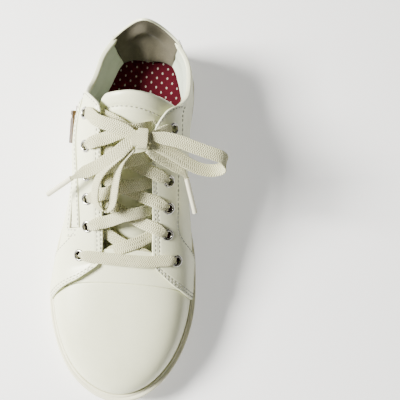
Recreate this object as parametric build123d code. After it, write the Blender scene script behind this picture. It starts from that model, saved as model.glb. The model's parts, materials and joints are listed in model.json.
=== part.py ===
"""Right-foot bowling shoe: a laced leather oxford with a side zip.

Millimetres. Toe towards -Y, outer (lateral) side towards -X, inner (medial) side
towards +X, +Z up. The origin is on the floor under the middle of the shoe.

The upper is drawn on one reference surface. A station t runs round the feather
line, where upper and sole meet: 0 at the toe tip, -300 or +300 at the back of the
heel, negative on the lateral side. A height v runs up each section, from 0 at the
feather line to 1 at the ridge of the instep or the top of the ankle shaft.
"""
from build123d import *
import os
import numpy as np

# --- Driving dimensions ---
TOE_POLE = (4.8, -54.0)        # where the toe sections meet, on the cap seam
HEEL_CENTRE_Y = 94.0           # where the heel sections meet
FAN_END = 100.0                # last station of the toe fan
FAN_SPREAD = 0.727             # how fast the toe sections turn at the tip, against the mean
HEEL_START = 248.0             # first station of the heel fan
BACK = 300.0                   # station of the back of the heel
POLE_Z = 45.0                  # height of the toe box at the cap seam
POLE_SLOPE = 0.26              # rise of the instep where it leaves the toe cap
LEATHER = 1.3                  # upper leather
LINING = 0.8                   # lining leather and fabric
GAP = 0.2                      # air between layers and abutting panels
LACE_WIDTH = 8.0
LACE_THICKNESS = 1.2
LACE_CORE = 1.5                # radius of the plain tube that stands for a free lace
KNOT = Vector(12.2, 31.5, 95.4)
KNOT_SIZE = (9.0, 12.0, 7.4)
AGLET_RADIUS = 1.7
TOE_SPRING = 4.5               # lift of the sole under the toe tip
SPRING_START = -88.0           # y where the sole leaves the floor
SOLE_BREAKS = (SPRING_START, -40.0, 30.0, 90.0)   # where the sole profile's arcs meet
SOLE_FLOOR = 7.0               # rubber under the midsole
PAD_DEPTH = 2.0                # recess of the slide and heel pads

THROAT_HALF = 16.0             # half width of the lace opening
EYELET_BORE = 2.0
EYELET_BARREL = 2.6
EYELET_FLANGE = 4.1
# y and radius from the axis of each eyelet, top pair first
EYELETS = {
    -1: [(49.5, 27.3), (30.0, 26.0), (13.0, 26.0), (-1.5, 26.0), (-18.5, 26.3), (-37.0, 31.8)],
    1: [(44.0, 27.2), (28.0, 26.5), (13.0, 26.0), (-3.5, 26.0), (-20.0, 25.4), (-36.0, 32.0)]}

ZIP_TOP = Vector(-33.4, 60.0, 69.5)
ZIP_BOTTOM = Vector(-34.9, -19.0, 46.5)
ZIP_FACE = Vector(-0.87, -0.05, 0.49)   # roughly the way the zip faces
ZIP_EDGE = 4.2                 # leather edges stand this far from the zip's centre line
ZIP_RUN = (ZIP_BOTTOM - ZIP_TOP).normalized()
ZIP_OUT = (ZIP_FACE - ZIP_RUN * ZIP_FACE.dot(ZIP_RUN)).normalized()
TOOTH_PITCH = 3.0
SLIDER_START = 6.0             # from the top of the zip to the slider's middle
SLIDER_SIZE = (6.4, 10.0)

# Layers of the upper, as offsets of their outer and inner faces from the reference surface
BELOW = -0.05                  # v of the lasting edge, hidden inside the sole cup
OVERLAY = (LEATHER + 0.3, 0.3)
BASE = (0.0, -LEATHER)
UNDER = (-LEATHER - GAP, -LEATHER - GAP - LINING)
DEEP = (-2.4, -2.4 - LINING)
COLLAR_SKIN = (-4.8, -4.8 - LINING)
TONGUE_CREST = 4.0             # x of the highest line along the tongue


# --- Curves ---
class Curve:
    """Cubic spline through (x, value) pairs; closed when a period is given."""

    def __init__(self, *points, period=None):
        self.period = period
        xs, ys = (np.array(column, float) for column in zip(*sorted(points)))
        self.low = xs[0]
        if period:
            xs, ys = np.append(xs, xs[0] + period), np.append(ys, ys[0])
        self.xs, self.ys = xs, ys
        count, gaps = len(xs), np.diff(xs)
        slopes = np.diff(ys) / gaps
        matrix, right = np.eye(count), np.zeros(count)
        for i in range(1, count - 1):
            matrix[i, i - 1:i + 2] = gaps[i - 1], 2 * (gaps[i - 1] + gaps[i]), gaps[i]
            right[i] = 6 * (slopes[i] - slopes[i - 1])
        if period:
            matrix[0, :2] = 2 * (gaps[-1] + gaps[0]), gaps[0]
            matrix[0, -2] = gaps[-1]
            right[0] = 6 * (slopes[0] - slopes[-1])
            matrix[-1, 0] = -1
        self.bends = np.linalg.solve(matrix, right)

    def __call__(self, x):
        x = np.asarray(x, float)
        if self.period:
            x = self.low + np.mod(x - self.low, self.period)
        x = np.clip(x, self.xs[0], self.xs[-1])
        i = np.clip(np.searchsorted(self.xs, x) - 1, 0, len(self.xs) - 2)
        gap = self.xs[i + 1] - self.xs[i]
        a, b = (self.xs[i + 1] - x) / gap, (x - self.xs[i]) / gap
        bend = (a ** 3 - a) * self.bends[i] + (b ** 3 - b) * self.bends[i + 1]
        return a * self.ys[i] + b * self.ys[i + 1] + bend * gap ** 2 / 6


def ring(lateral, medial=None):
    """Closed curve over the stations, from pairs of |station| and value for each side."""
    left = [(-t, value) for t, value in lateral if 0 < t < BACK]
    right = [(t, value) for t, value in (medial or lateral) if 0 < t < BACK]
    ends = [(0.0, dict(lateral)[0]), (-BACK, dict(lateral)[BACK])]
    return Curve(*left, *right, *ends, period=2 * BACK)


def ease(x):
    """Smooth step from 0 to 1."""
    x = np.clip(x, 0, 1)
    return x * x * (3 - 2 * x)


# Radius of the sole's edge from the section's axis
SOLE_RADIUS = ring(
    [(0, 79.5), (20, 77.2), (40, 71.2), (60, 63.8), (80, 58.8), (100, 57.1), (120, 56.0),
     (144, 51.6), (168, 45.2), (190, 40.6), (214, 37.4), (248, 35.8), (268, 35.4),
     (285, 37.4), (300, 39.5)],
    [(20, 75.6), (40, 66.8), (60, 57.4), (80, 50.6), (100, 47.3), (120, 45.6),
     (144, 41.4), (168, 37.4), (190, 35.6), (214, 35.6), (248, 35.6), (268, 35.4),
     (285, 37.4)])
LEDGE = ring([(0, 6.0), (50, 5.0), (100, 4.0), (150, 3.4), (200, 3.2), (250, 3.0), (300, 3.0)])
AXIS_X = Curve((-60, 4.8), (-20, 4.5), (0, 3.3), (40, 1.9), (62, 2.6), (94, 4.6), (134, 4.8))
RIM_Z = Curve((-134, 21.5), (-95, 18.8), (-54, 17.6), (0, 19.8), (45, 24.0), (94, 27.2), (134, 28.2))
LEAN = ring([(0, 6), (60, 5), (100, 4), (130, 6), (162, 10), (190, 20), (214, 26), (232, 18),
             (250, 9), (275, 9), (300, 11)],
            [(60, 5), (100, 8), (130, 20), (150, 29), (175, 30), (214, 28), (232, 18),
             (250, 9), (275, 9)])
LOWER_REACH = ring([(0, 17), (60, 18), (100, 18), (140, 24), (170, 28), (214, 28), (240, 22),
                    (270, 19), (300, 19)])
UPPER_REACH = ring([(0, 36), (50, 34), (100, 33), (150, 32), (200, 34), (225, 27), (248, 21),
                    (270, 19), (300, 19)])
SHAFT_RADIUS = ring([(0, 29), (100, 29), (200, 29), (248, 28.5), (270, 24.5), (300, 23.5)],
                    [(100, 31), (200, 31), (248, 30.0), (270, 25.0)])
RIDGE_Z = Curve((-54, POLE_Z), (-40, 48.9), (-20, 58.5), (0, 68.5), (20, 79.0), (45, 93.0),
                (60, 99.0), (94, 93.0), (134, 92.0))
COLLAR_Z = ring([(0, 90), (200, 92), (213, 84), (221, 75), (230, 64), (242, 58.5), (262, 60),
                 (284, 68), (300, 78)],
                [(200, 90), (213, 80), (221, 72), (230, 64.5), (242, 60.5), (262, 61), (284, 68)])


# --- The reference surface of the upper ---
def section(t):
    """Axis point, outward direction and the four control points of the section at t."""
    t = (np.asarray(t, float) + BACK) % (2 * BACK) - BACK
    side, station = np.where(t < 0, -1.0, 1.0), np.abs(t)
    in_toe, in_heel = station < FAN_END, station > HEEL_START
    w = np.clip(station / FAN_END, 0, 1)
    toe_angle = np.pi / 2 * (FAN_SPREAD * w + (1 - FAN_SPREAD) * w * w)
    heel_angle = np.pi / 2 * np.clip((station - HEEL_START) / (BACK - HEEL_START), 0, 1)
    axis_y = np.clip(TOE_POLE[1] + station - FAN_END, TOE_POLE[1], HEEL_CENTRE_Y)
    axis_x = np.where(in_toe, TOE_POLE[0], AXIS_X(axis_y))
    out_x = side * np.where(in_toe, np.sin(toe_angle), np.cos(heel_angle))
    out_y = np.where(in_toe, -np.cos(toe_angle), np.where(in_heel, np.sin(heel_angle), 0.0))
    foot = SOLE_RADIUS(t) - LEDGE(t)
    foot_z = RIM_Z(axis_y + out_y * foot)
    lean = np.radians(LEAN(t))
    opening = ease((station - 206) / 40)
    fall = np.where(in_toe, np.arctan(POLE_SLOPE * np.cos(toe_angle)), opening * np.pi / 2)
    top, top_z = opening * SHAFT_RADIUS(t), RIDGE_Z(axis_y)
    radii = [foot, foot + LOWER_REACH(t) * np.sin(lean), top + UPPER_REACH(t) * np.cos(fall), top]
    heights = [foot_z, foot_z + LOWER_REACH(t) * np.cos(lean),
               top_z - UPPER_REACH(t) * np.sin(fall), top_z]
    return (axis_x, axis_y), (out_x, out_y), radii, heights


def profile(t, v):
    """Radius and height of the section at t, at height v."""
    _, _, radii, heights = section(t)
    weights = [(1 - v) ** 3, 3 * (1 - v) ** 2 * v, 3 * (1 - v) * v ** 2, v ** 3]
    radius = sum(weight * value for weight, value in zip(weights, radii))
    return radius, sum(weight * value for weight, value in zip(weights, heights))


def on_surface(t, v):
    """Point on the upper's outer surface."""
    (axis_x, axis_y), (out_x, out_y), _, _ = section(t)
    radius, height = profile(t, v)
    return np.stack([axis_x + out_x * radius, axis_y + out_y * radius, height], axis=-1)


def surface(t, v, offset=0.0):
    """Point at a distance outside the upper's surface."""
    t, v = np.broadcast_arrays(np.asarray(t, float), np.asarray(v, float))
    inside = np.clip(v, 0.002, 0.985)
    along = on_surface(t + 0.5, inside) - on_surface(t - 0.5, inside)
    up = on_surface(t, inside + 0.002) - on_surface(t, inside - 0.002)
    normal = np.cross(along, up)
    normal /= np.linalg.norm(normal, axis=-1, keepdims=True)
    return on_surface(t, v) + np.asarray(offset)[..., None] * normal


HEIGHTS = np.linspace(0, 1, 201)


def v_at_height(t, height):
    """Height parameter where the section at t reaches a real height."""
    return np.array([np.interp(h, profile(s, HEIGHTS)[1], HEIGHTS)
                     for s, h in zip(np.atleast_1d(t), np.broadcast_to(height, np.shape(t)))])


def v_at_radius(t, radius):
    """Height parameter, near the top, where the section at t reaches a radius."""
    upper = HEIGHTS[60:]
    return np.array([np.interp(-r, -profile(s, upper)[0], upper)
                     for s, r in zip(np.atleast_1d(t), np.broadcast_to(radius, np.shape(t)))])


def v_shift(t, v, distance):
    """Height parameter a real distance further up the section."""
    step = np.linalg.norm(on_surface(t, v + 0.01) - on_surface(t, v - 0.01), axis=-1) / 0.02
    return v + distance / step


def station(y):
    """Station of the section at y, between the toe and heel fans."""
    return y - TOE_POLE[1] + FAN_END


# --- Solids ---
def face_through(grid):
    rows = [[Vector(*map(float, point)) for point in row] for row in grid]
    return Face.make_surface_from_array_of_points(rows, tol=0.12, min_deg=3, max_deg=3)


def slab(outer, inner):
    """Closed solid between two grids of points with the same shape."""
    skins = [face_through(outer), face_through(inner)]
    corners = [(0, 0, 0, -1), (0, -1, -1, -1), (-1, -1, -1, 0), (-1, 0, 0, 0)]
    walls = []
    for a, b, c, d in corners:
        pair = []
        for skin, grid in zip(skins, (outer, inner)):
            start, end = Vector(*map(float, grid[a][b])), Vector(*map(float, grid[c][d]))
            edge = min(skin.edges(), key=lambda e: min(
                (e @ 0 - start).length + (e @ 1 - end).length,
                (e @ 1 - start).length + (e @ 0 - end).length))
            pair.append(edge)
        if (pair[0] @ 0 - pair[1] @ 0).length > (pair[0] @ 0 - pair[1] @ 1).length:
            pair[1] = pair[1].reversed()
        walls.append(Face.make_surface_from_curves(*pair))
    solid = Solid(Shell(skins + walls))
    return solid if solid.volume > 0 else Solid(Shell([-face for face in skins + walls]))


def panel(low, high, outside, inside, along=13, up=7):
    """Panel of the upper between two lines of (station, v) points, between two offsets."""
    s = np.linspace(0, 1, along)
    (t0, v0), (t1, v1) = low(s), high(s)
    rise = np.linspace(0, 1, up)[None, :]
    t = np.asarray(t0)[:, None] * (1 - rise) + np.asarray(t1)[:, None] * rise
    v = np.asarray(v0)[:, None] * (1 - rise) + np.asarray(v1)[:, None] * rise
    return slab(surface(t, v, outside), surface(t, v, inside))


def arcs(points):
    """Edges through every second point, each a circular arc by way of the point between."""
    edges = []
    for a, b, c in zip(points[::2], points[1::2], points[2::2]):
        straight = (b - a).normalized().cross((c - b).normalized()).length < 1e-4
        edges.append(Edge.make_line(a, c) if straight else Edge.make_three_point_arc(a, b, c))
    return edges


def outline(inset, z=0.0):
    """Plan outline of the sole, drawn in by a distance, which may follow the station."""
    t = np.linspace(-BACK, BACK, 41)
    (axis_x, axis_y), (out_x, out_y), _, _ = section(t)
    radius = SOLE_RADIUS(t) - (inset(t) if callable(inset) else inset)
    xs, ys = axis_x + out_x * radius, axis_y + out_y * radius
    points = [Vector(float(x), float(y), z) for x, y in zip(xs, ys)]
    points[-1] = points[0]
    return Wire(arcs(points))


def between(low, high, inset, y_from=-140.0, y_to=140.0):
    """Sole layer with the plan outline, between two height curves over y."""
    edges, corners = [], []
    breaks = [y for y in SOLE_BREAKS if y_from < y < y_to]
    ys = [y_from, *breaks, y_to]
    ys = sorted(ys + [(a + b) / 2 for a, b in zip(ys, ys[1:])])
    for curve in (low, high):
        line = [Vector(0, float(y), float(curve(y))) for y in ys]
        edges += arcs(line)
        corners.append([line[0], line[-1]])
    edges += [Edge.make_line(a, b) for a, b in zip(*corners)]
    side = Solid.extrude(Face(Wire(edges)), Vector(160, 0, 0)).moved(Location((-80, 0, 0)))
    plan = Solid.extrude(Face(outline(inset, -5.0)), Vector(0, 0, 60))
    return side & plan


def save(name, *shapes):
    shape = shapes[0] if len(shapes) == 1 else Compound(children=list(shapes))
    export_step(shape, f"parts/{name}.step")


# --- Sole ---
def pad_outline(y_from, y_to, inset):
    """Tall plan solid of a sole pad, between two values of y."""
    plan = Solid.extrude(Face(outline(inset, -5.0)), Vector(0, 0, 60))
    return plan & Solid.make_box(160, y_to - y_from, 60).moved(Location((-80, y_from, -5)))


def floor_z(y):
    """Underside of the sole: flat, with the toe sprung up."""
    return TOE_SPRING * np.clip((SPRING_START - y) / 46.0, 0, 1) ** 2


def make_sole():
    inner = lambda extra: lambda t: LEDGE(t) + extra
    outsole = between(floor_z, RIM_Z, 0)
    outsole -= between(lambda y: floor_z(y) + SOLE_FLOOR, lambda y: RIM_Z(y) + 9, inner(-0.9))
    pad_top = lambda y: floor_z(y) + PAD_DEPTH
    for name, y_from, y_to in (("slide_pad", -118.0, 14.0), ("heel_pad", 62.0, 122.0)):
        outsole -= pad_outline(y_from - GAP, y_to + GAP, 8.0 - GAP) & between(
            lambda y: floor_z(y) - 1, lambda y: pad_top(y) + GAP, 2.0)
        save(name, pad_outline(y_from, y_to, 8.0) & between(floor_z, pad_top, 2.0, y_from - 9, 130))
    save("outsole", outsole)
    midsole_top = lambda y: RIM_Z(y) - 5.6
    midsole = between(lambda y: floor_z(y) + SOLE_FLOOR + GAP, midsole_top, inner(0.4))
    slope = Location((0, 0, midsole_top(0.0) - 2.4), (4.4, 0, 0))
    channel = Solid.make_box(16.8, 100.8, 9.0).moved(Location((-4.6, -20.4, -0.4)))
    save("midsole", midsole - channel.moved(slope))
    save("shank", Solid.make_box(16, 100, 1.6).moved(Location((-4.2, -20.0, 0))).moved(slope))
    save("insole_board", between(lambda y: RIM_Z(y) - 4.6, lambda y: RIM_Z(y) - 2.6, inner(4.4)))
    save("footbed_foam", between(lambda y: RIM_Z(y) - 2.4, lambda y: RIM_Z(y) + 2.0, inner(6.0)))
    save("footbed_cover", between(lambda y: RIM_Z(y) + 2.2, lambda y: RIM_Z(y) + 3.2, inner(6.0)))


# --- Upper ---


def cap_seam(side, v):
    """Station of the seam between toe cap and vamp."""
    return FAN_END - (13.0 if side < 0 else 7.5) * np.abs(1 - v) ** 1.6


def cap_grid(across, up):
    """Stations and heights of the toe cap, as a smooth square grid over a half disc."""
    p, q = np.linspace(-1, 1, across)[:, None], np.linspace(0, 1, up)[None, :]
    x, y = p * np.sqrt(1 - q ** 2 / 2), q * np.sqrt(1 - p ** 2 / 2)
    v = 1 - np.hypot(x, y) * (1 - BELOW)
    turn = np.arctan2(x, y + 1e-9) / (np.pi / 2)
    limit = (np.where(turn < 0, cap_seam(-1, v), cap_seam(1, v)) - 0.15) / FAN_END
    share = np.abs(turn) * (0.727 * limit + 0.273 * limit ** 2)
    w = (-0.727 + np.sqrt(0.727 ** 2 + 4 * 0.273 * share)) / (2 * 0.273)
    return np.sign(turn) * w * FAN_END, v


def make_toe():
    def shell(reach, top, offsets, across=17, up=7):
        a = np.linspace(-1, 1, across)[:, None]
        v = np.linspace(BELOW, top, up)[None, :]
        limit = np.where(a < 0, cap_seam(-1, v), cap_seam(1, v)) - reach
        t = a * limit
        v = np.broadcast_to(v, t.shape)
        return slab(surface(t, v, offsets[0]), surface(t, v, offsets[1]))

    t, v = cap_grid(21, 11)
    save("toe_cap", slab(surface(t, v, BASE[0]), surface(t, v, BASE[1])))
    save("toe_puff", shell(6.0, 0.86, UNDER))


def make_vamp():
    def shell(start, rear, offsets, low=BELOW, along=7, across=17):
        w = np.linspace(low - 1, 1 - low, across)[:, None]
        a = np.linspace(0, 1, along)[None, :]
        side, v = np.where(w < 0, -1, 1), 1 - np.abs(w)
        front = np.where(side < 0, cap_seam(-1, v), cap_seam(1, v)) + start
        t = side * (front + a * (rear(v) - front))
        v = np.broadcast_to(v, t.shape)
        return slab(surface(t, v, offsets[0]), surface(t, v, offsets[1]))

    bores = [bore for side in (-1, 1) for bore in eyelet_bores(side, EYELET_FLANGE)[-1:]]
    save("vamp", shell(0.15, lambda v: 102 + 26 * v, BASE).cut(*bores))
    save("vamp_lining", shell(0.3, lambda v: 100 + 24 * v, UNDER).cut(*bores))


def zip_point(y):
    return ZIP_BOTTOM + (ZIP_TOP - ZIP_BOTTOM) * ((y - ZIP_BOTTOM.Y) / (ZIP_TOP.Y - ZIP_BOTTOM.Y))


def zip_v(t, q=0.0):
    """Height parameter of a line along the zip, q mm above its centre line."""
    heights = np.array([zip_point(y).Z for y in np.abs(t) - FAN_END + TOE_POLE[1]])
    return v_shift(t, v_at_height(t, heights), q)


def eyestay_outer(side):
    """Outer edge of an eyestay, from the collar down and forward along the feather."""
    ys = [64.0, 46.0, 28.0, 10.0, -8.0, -20.0] if side < 0 else [60.0, 44.0, 28.0, 10.0, -6.0, -19.0]
    t = side * station(np.array(ys))
    v = zip_v(t, ZIP_EDGE) if side < 0 else v_at_radius(t, [33.0, 32.6, 32.4, 32.4, 32.8, 34.4])
    s = [0.0, 0.14, 0.28, 0.42, 0.56, 0.66, 0.75, 0.83, 0.91, 1.0]
    last = (87.0, 96.0, 113.0, 122.0) if side < 0 else (92.0, 100.0, 117.0, 126.0)
    t = list(t) + [side * x for x in reversed(last)]
    v = list(v) + [v[-1] * 0.58, v[-1] * 0.14, 0.03, 0.03]
    return Curve(*zip(s, t)), Curve(*zip(s, v))


def throat_edge(side):
    """Edge of an eyestay along the lace opening, from the top down."""
    ys = np.array([48.0, 30.0, 10.0, -10.0, -28.0, -38.0, -44.0] if side < 0 else
                  [42.0, 28.0, 10.0, -10.0, -28.0, -38.0, -44.0])
    t = side * station(ys)
    v = v_at_radius(t, [16.5, 16, 16, 16, 16, 17, 19.5])
    s = np.linspace(0, 1, 7)
    return Curve(*zip(s, t)), Curve(*zip(s, v))


def point_on(side, y, radius, offset=0.0):
    t = np.array([side * station(y)])
    return Vector(*map(float, surface(t, v_at_radius(t, radius), offset)[0]))


def eyelet_plane(side, y, radius):
    foot = point_on(side, y, radius)
    return Plane(foot, z_dir=point_on(side, y, radius, 1.0) - foot)


def eyelet_bores(side, radius):
    return [Solid.make_cylinder(radius, 12, eyelet_plane(side, y, r).offset(-6))
            for y, r in EYELETS[side]]


def make_eyestays():
    for side, name in ((-1, "lateral"), (1, "medial")):
        outer, throat = eyestay_outer(side), throat_edge(side)
        low, high = (lambda s: (outer[0](s), outer[1](s))), (lambda s: (throat[0](s), throat[1](s)))
        shell = panel(low, high, *OVERLAY, along=17)
        save(f"eyestay_{name}", shell.cut(*eyelet_bores(side, EYELET_BARREL + 0.05)))
        y_range = (50.0, -24.0) if side < 0 else (44.0, -24.0)
        t = lambda s: side * station(y_range[0] + (y_range[1] - y_range[0]) * s)
        inner_low = (lambda s: (t(s), zip_v(t(s), ZIP_EDGE + 0.8))) if side < 0 else (
            lambda s: (t(s), v_at_radius(t(s), 29.4)))
        lining = panel(inner_low, lambda s: (t(s), v_at_radius(t(s), THROAT_HALF + 1.8)),
                       -0.1, -1.2)
        save(f"eyestay_lining_{name}", lining.cut(*eyelet_bores(side, EYELET_BARREL + 0.05)))
        eyelets = []
        for y, r in EYELETS[side]:
            plane = eyelet_plane(side, y, r)
            body = Solid.make_cylinder(EYELET_BARREL, 4.0, plane.offset(-2.0))
            body = body.fuse(Solid.make_cylinder(EYELET_FLANGE, 0.6, plane.offset(LEATHER + 0.45)))
            body = body.fuse(Solid.make_cylinder(EYELET_FLANGE - 0.6, 0.4, plane.offset(-2.0)))
            eyelets.append(body.cut(Solid.make_cylinder(EYELET_BORE, 8, plane.offset(-4))))
        save(f"eyelets_{name}", *eyelets)


def make_quarters():
    for side, name in ((-1, "lateral"), (1, "medial")):
        back = BACK - 0.3
        bend = Curve((0.0, 104.0), (0.14, 122.0), (0.26, 140.0), (1.0, back))
        t = lambda s: side * bend(s)
        ys = lambda s: bend(s) - FAN_END + TOE_POLE[1]

        def high(s):
            front = np.interp(bend(s), [104.0, 118.0, 132.0, 134.0], [0.10, 0.26, 0.52, 0.55])
            if side < 0:
                edge = zip_v(t(s), -ZIP_EDGE)
            else:
                edge = v_shift(t(s), v_at_radius(t(s), 33.0), 4.0)
            collar = v_at_height(t(s), COLLAR_Z(t(s)) - 4.8)
            tab = v_at_height(t(s), COLLAR_Z(t(s)) - 0.4)
            upper = edge + (collar - edge) * ease((bend(s) - 216) / 6)
            upper = upper + (tab - upper) * ease((bend(s) - 267) / 7)
            return t(s), front + (upper - front) * ease((bend(s) - 126) / 8)

        save(f"quarter_{name}", panel(lambda s: (t(s), BELOW + 0 * s), high, *BASE, along=35))
        line = lambda s: side * (112.0 + 100.0 * s)
        lining_top = (lambda s: (line(s), np.minimum(zip_v(line(s), -9.0), 0.06 + 1.4 * s))) \
            if side < 0 else (
            lambda s: (line(s), np.minimum(v_at_radius(line(s), 34.0), 0.06 + 1.4 * s)))
        save(f"quarter_lining_{name}", panel(
            lambda s: (line(s), -0.02 + 0 * s), lining_top, *DEEP))


def make_collar():
    starts = {"lateral": (-1, 225.0), "medial": (1, 225.0)}
    for name, (side, start) in starts.items():
        t = lambda s: side * (start + (262.0 - start) * s)
        at = lambda drop: lambda s: (t(s), v_at_height(t(s), COLLAR_Z(t(s)) - drop))
        save(f"collar_roll_{name}", panel(at(3.5), at(0.0), 0.0, -4.6, up=7))
        foam = lambda s: side * (start + (274.4 - start) * s)
        low = lambda s: (foam(s), v_at_height(foam(s), COLLAR_Z(foam(s)) - 22.0))
        high = lambda s: (foam(s), v_at_height(foam(s), COLLAR_Z(foam(s)) - 4.2))
        save(f"collar_foam_{name}", panel(low, high, -1.9, -4.5))
        skin = lambda s: side * (213.5 + (267.8 - 213.5) * s)
        limit = lambda s: np.minimum(COLLAR_Z(skin(s)) - 0.3, 74.0)
        save(f"collar_lining_{name}", panel(lambda s: (skin(s), 0.16 + 0 * s), lambda s: (
            skin(s), v_at_height(skin(s), limit(s))), *COLLAR_SKIN))
    around = lambda start: lambda s: start + (2 * BACK - 2 * start) * s
    level = lambda t, z: lambda s: (t(s), v_at_height(t(s), z(t(s)) + 0 * s))
    collar = lambda drop: lambda t: COLLAR_Z(t) - drop
    t = around(275.4)
    save("collar_foam_heel", panel(level(t, lambda t: 52.0), level(t, collar(1.5)), -1.9, -4.5))
    save("heel_counter", panel(lambda s: (t(s), 0 * s), level(t, lambda t: 50.0), -1.9, -3.1))
    t = around(268.2)
    save("heel_lining", panel(lambda s: (t(s), 0.16 + 0 * s), level(t, collar(0.3)), *COLLAR_SKIN))
    t = around(271.0)
    save("heel_tab", panel(level(t, lambda t: 42.0), level(t, collar(0.0)), LEATHER + 0.7, 0.7))


# --- Tongue ---
TONGUE_FRONT, TONGUE_BACK = -35.0, 59.0
TONGUE_Z = Curve((-36, 45.6), (-20, 54.0), (0, 64.0), (20, 74.5), (40, 86.2), (50, 93.4), (60, 101.0))
TONGUE_X = Curve((-36, 4.8), (-20, 4.5), (0, 3.5), (20, 2.6), (35, 3.2), (50, 6.0), (60, 9.6))
TONGUE_HALF = Curve((-36, 14.0), (-20, 18.0), (0, 21.5), (20, 23.0), (40, 22.6), (50, 24.0), (60, 27.0))


def tongue_grid(depth, margin=0.0):
    """Points of the tongue at a depth under its top face."""
    s, c = np.linspace(0, 1, 13)[:, None], np.linspace(-1, 1, 7)[None, :]
    y = TONGUE_FRONT + (TONGUE_BACK - margin - TONGUE_FRONT) * s - 9.0 * s ** 6 * c ** 2
    half = TONGUE_HALF(y) - margin
    x = TONGUE_X(y) + half * c
    z = TONGUE_Z(y) - 1.8 - 12.5 * ((x - TONGUE_CREST) / 23.0) ** 2
    grid = np.stack([x, y, z + 0 * x], axis=-1)
    normal = np.cross(np.gradient(grid, axis=1), np.gradient(grid, axis=0))
    normal /= np.linalg.norm(normal, axis=-1, keepdims=True)
    return grid - depth * normal


def make_tongue():
    save("tongue_outer", slab(tongue_grid(0.0), tongue_grid(1.1)))
    save("tongue_padding", slab(tongue_grid(1.3, 1.5), tongue_grid(4.1, 1.5)))
    save("tongue_lining", slab(tongue_grid(4.3, 0.4), tongue_grid(5.0, 0.4)))


# --- Laces ---
def ribbon(points, ups, width=LACE_WIDTH, thickness=LACE_THICKNESS):
    """Flat lace centred on a line of points, its face turned to the ups."""
    points, ups = np.array([tuple(p) for p in points]), np.array([tuple(u) for u in ups])
    s = np.linspace(0, 1, len(points))
    fine = np.linspace(0, 1, 2 * len(points) + 1)
    line = np.stack([Curve(*zip(s, points[:, k]))(fine) for k in range(3)], axis=-1)
    up = np.stack([Curve(*zip(s, ups[:, k]))(fine) for k in range(3)], axis=-1)
    run = np.gradient(line, axis=0)
    across = np.cross(run, up)
    across /= np.linalg.norm(across, axis=-1, keepdims=True)
    face = np.cross(across, run)
    face /= np.linalg.norm(face, axis=-1, keepdims=True)
    w = np.linspace(-0.5, 0.5, 4)[None, :, None] * width
    grid = line[:, None, :] + w * across[:, None, :]
    half = face[:, None, :] * thickness / 2
    return slab(grid + half, grid - half)


def lace_run(side, row, hump):
    """Crossing lace: out of one eyelet, over the throat, under the other eyestay."""
    y, radius = EYELETS[side][row]
    end_y, _ = EYELETS[-side][row - 1]
    across = lambda f: y + (end_y - y) * f
    start = point_on(side, across(0.0), radius - 2.4, 4.7)
    edge = point_on(side, across(0.18), 18.0, 3.9)
    lip = point_on(side, across(0.24), 13.5, 3.0 if side < 0 else 2.1)
    far_lip = point_on(-side, across(0.72), 10.0, 1.6 if side < 0 else -0.9)
    far_edge = point_on(-side, across(0.84), 16.5, -2.4)
    end = point_on(-side, across(0.91), 19.0, -2.5)
    middle = (lip + far_lip) * 0.5 + Vector(0, 0, hump)
    points = [start, edge, lip, middle, far_lip, far_edge, end]
    tilt = side * 0.42
    ups = [(tilt, -0.3, 1), (tilt, -0.3, 1), (0.6 * tilt, -0.4, 1), (0, -0.45, 1),
           (-0.5 * tilt, -0.4, 1), (-tilt, -0.3, 1), (-tilt, -0.3, 1)]
    return ribbon(points, ups)


def make_lacing():
    for side, name, hump in ((-1, "lateral", 5.6), (1, "medial", -1.8)):
        save(f"lace_runs_{name}", *[lace_run(side, row, hump) for row in (4, 3, 2, 1)])
    ends = [point_on(side, EYELETS[side][5][0], EYELETS[side][5][1] - 2.2, 3.8) for side in (-1, 1)]
    left, right = point_on(-1, -37.5, 19.0, 3.4), point_on(1, -37.0, 20.0, 3.4)
    centre = Vector((left.X + right.X) / 2, -38.5, max(left.Z, right.Z) + 1.2)
    ups = [(-0.5, -0.4, 1), (-0.35, -0.4, 1), (0, -0.4, 1), (0.35, -0.4, 1), (0.5, -0.4, 1)]
    save("lace_bar", ribbon([ends[0], left, centre, right, ends[1]], ups))


# --- Free laces: each is a route of points from the knot, as it lies ---
ROUTES = {
    "lace_loop_side": [(17.0, 33.5, 95.4), (26.9, 32.8, 95), (36.0, 31.6, 94), (46.2, 28.8, 92),
                       (56.0, 27.0, 89.5), (62.2, 26.0, 87), (65.2, 23.5, 82.5), (62.8, 20.8, 78),
                       (56.4, 19.5, 76), (49.5, 19.4, 78), (42.0, 21.2, 81.5), (33.4, 25.0, 86.5),
                       (25.4, 27.8, 90.5), (17.0, 29.5, 93.2)],
    "lace_loop_down": [(8.4, 25.2, 93.2), (3.2, 21.8, 90), (-0.6, 15.2, 89), (-2.4, 6.2, 84),
                       (-3.5, -1.5, 78), (-4.5, -7.0, 74.5), (-8.3, -10.6, 72.4),
                       (-13.0, -9.6, 73), (-15.6, -4.6, 76), (-15.2, 1.5, 80), (-13.6, 7.0, 84),
                       (-9.4, 12.8, 87), (-2.6, 18.4, 90), (7.4, 27.5, 92.8)],
    "lace_end_lateral": [(7.4, 30.5, 95.8), (2.0, 24.8, 95.4), (-5.2, 19.5, 91), (-13.2, 15.0, 86.5),
                         (-21.8, 12.0, 81), (-31.0, 8.6, 76.5)],
    "lace_end_medial": [(17.0, 26.4, 92.4), (22.9, 23.6, 86.2), (30.6, 21.6, 80.5),
                        (36.6, 18.8, 76), (40.4, 15.6, 71.5)],
}
AGLETS = {"lateral": (-48.5, -1.0, 64.0), "medial": (47.6, -4.6, 56.0)}


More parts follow.
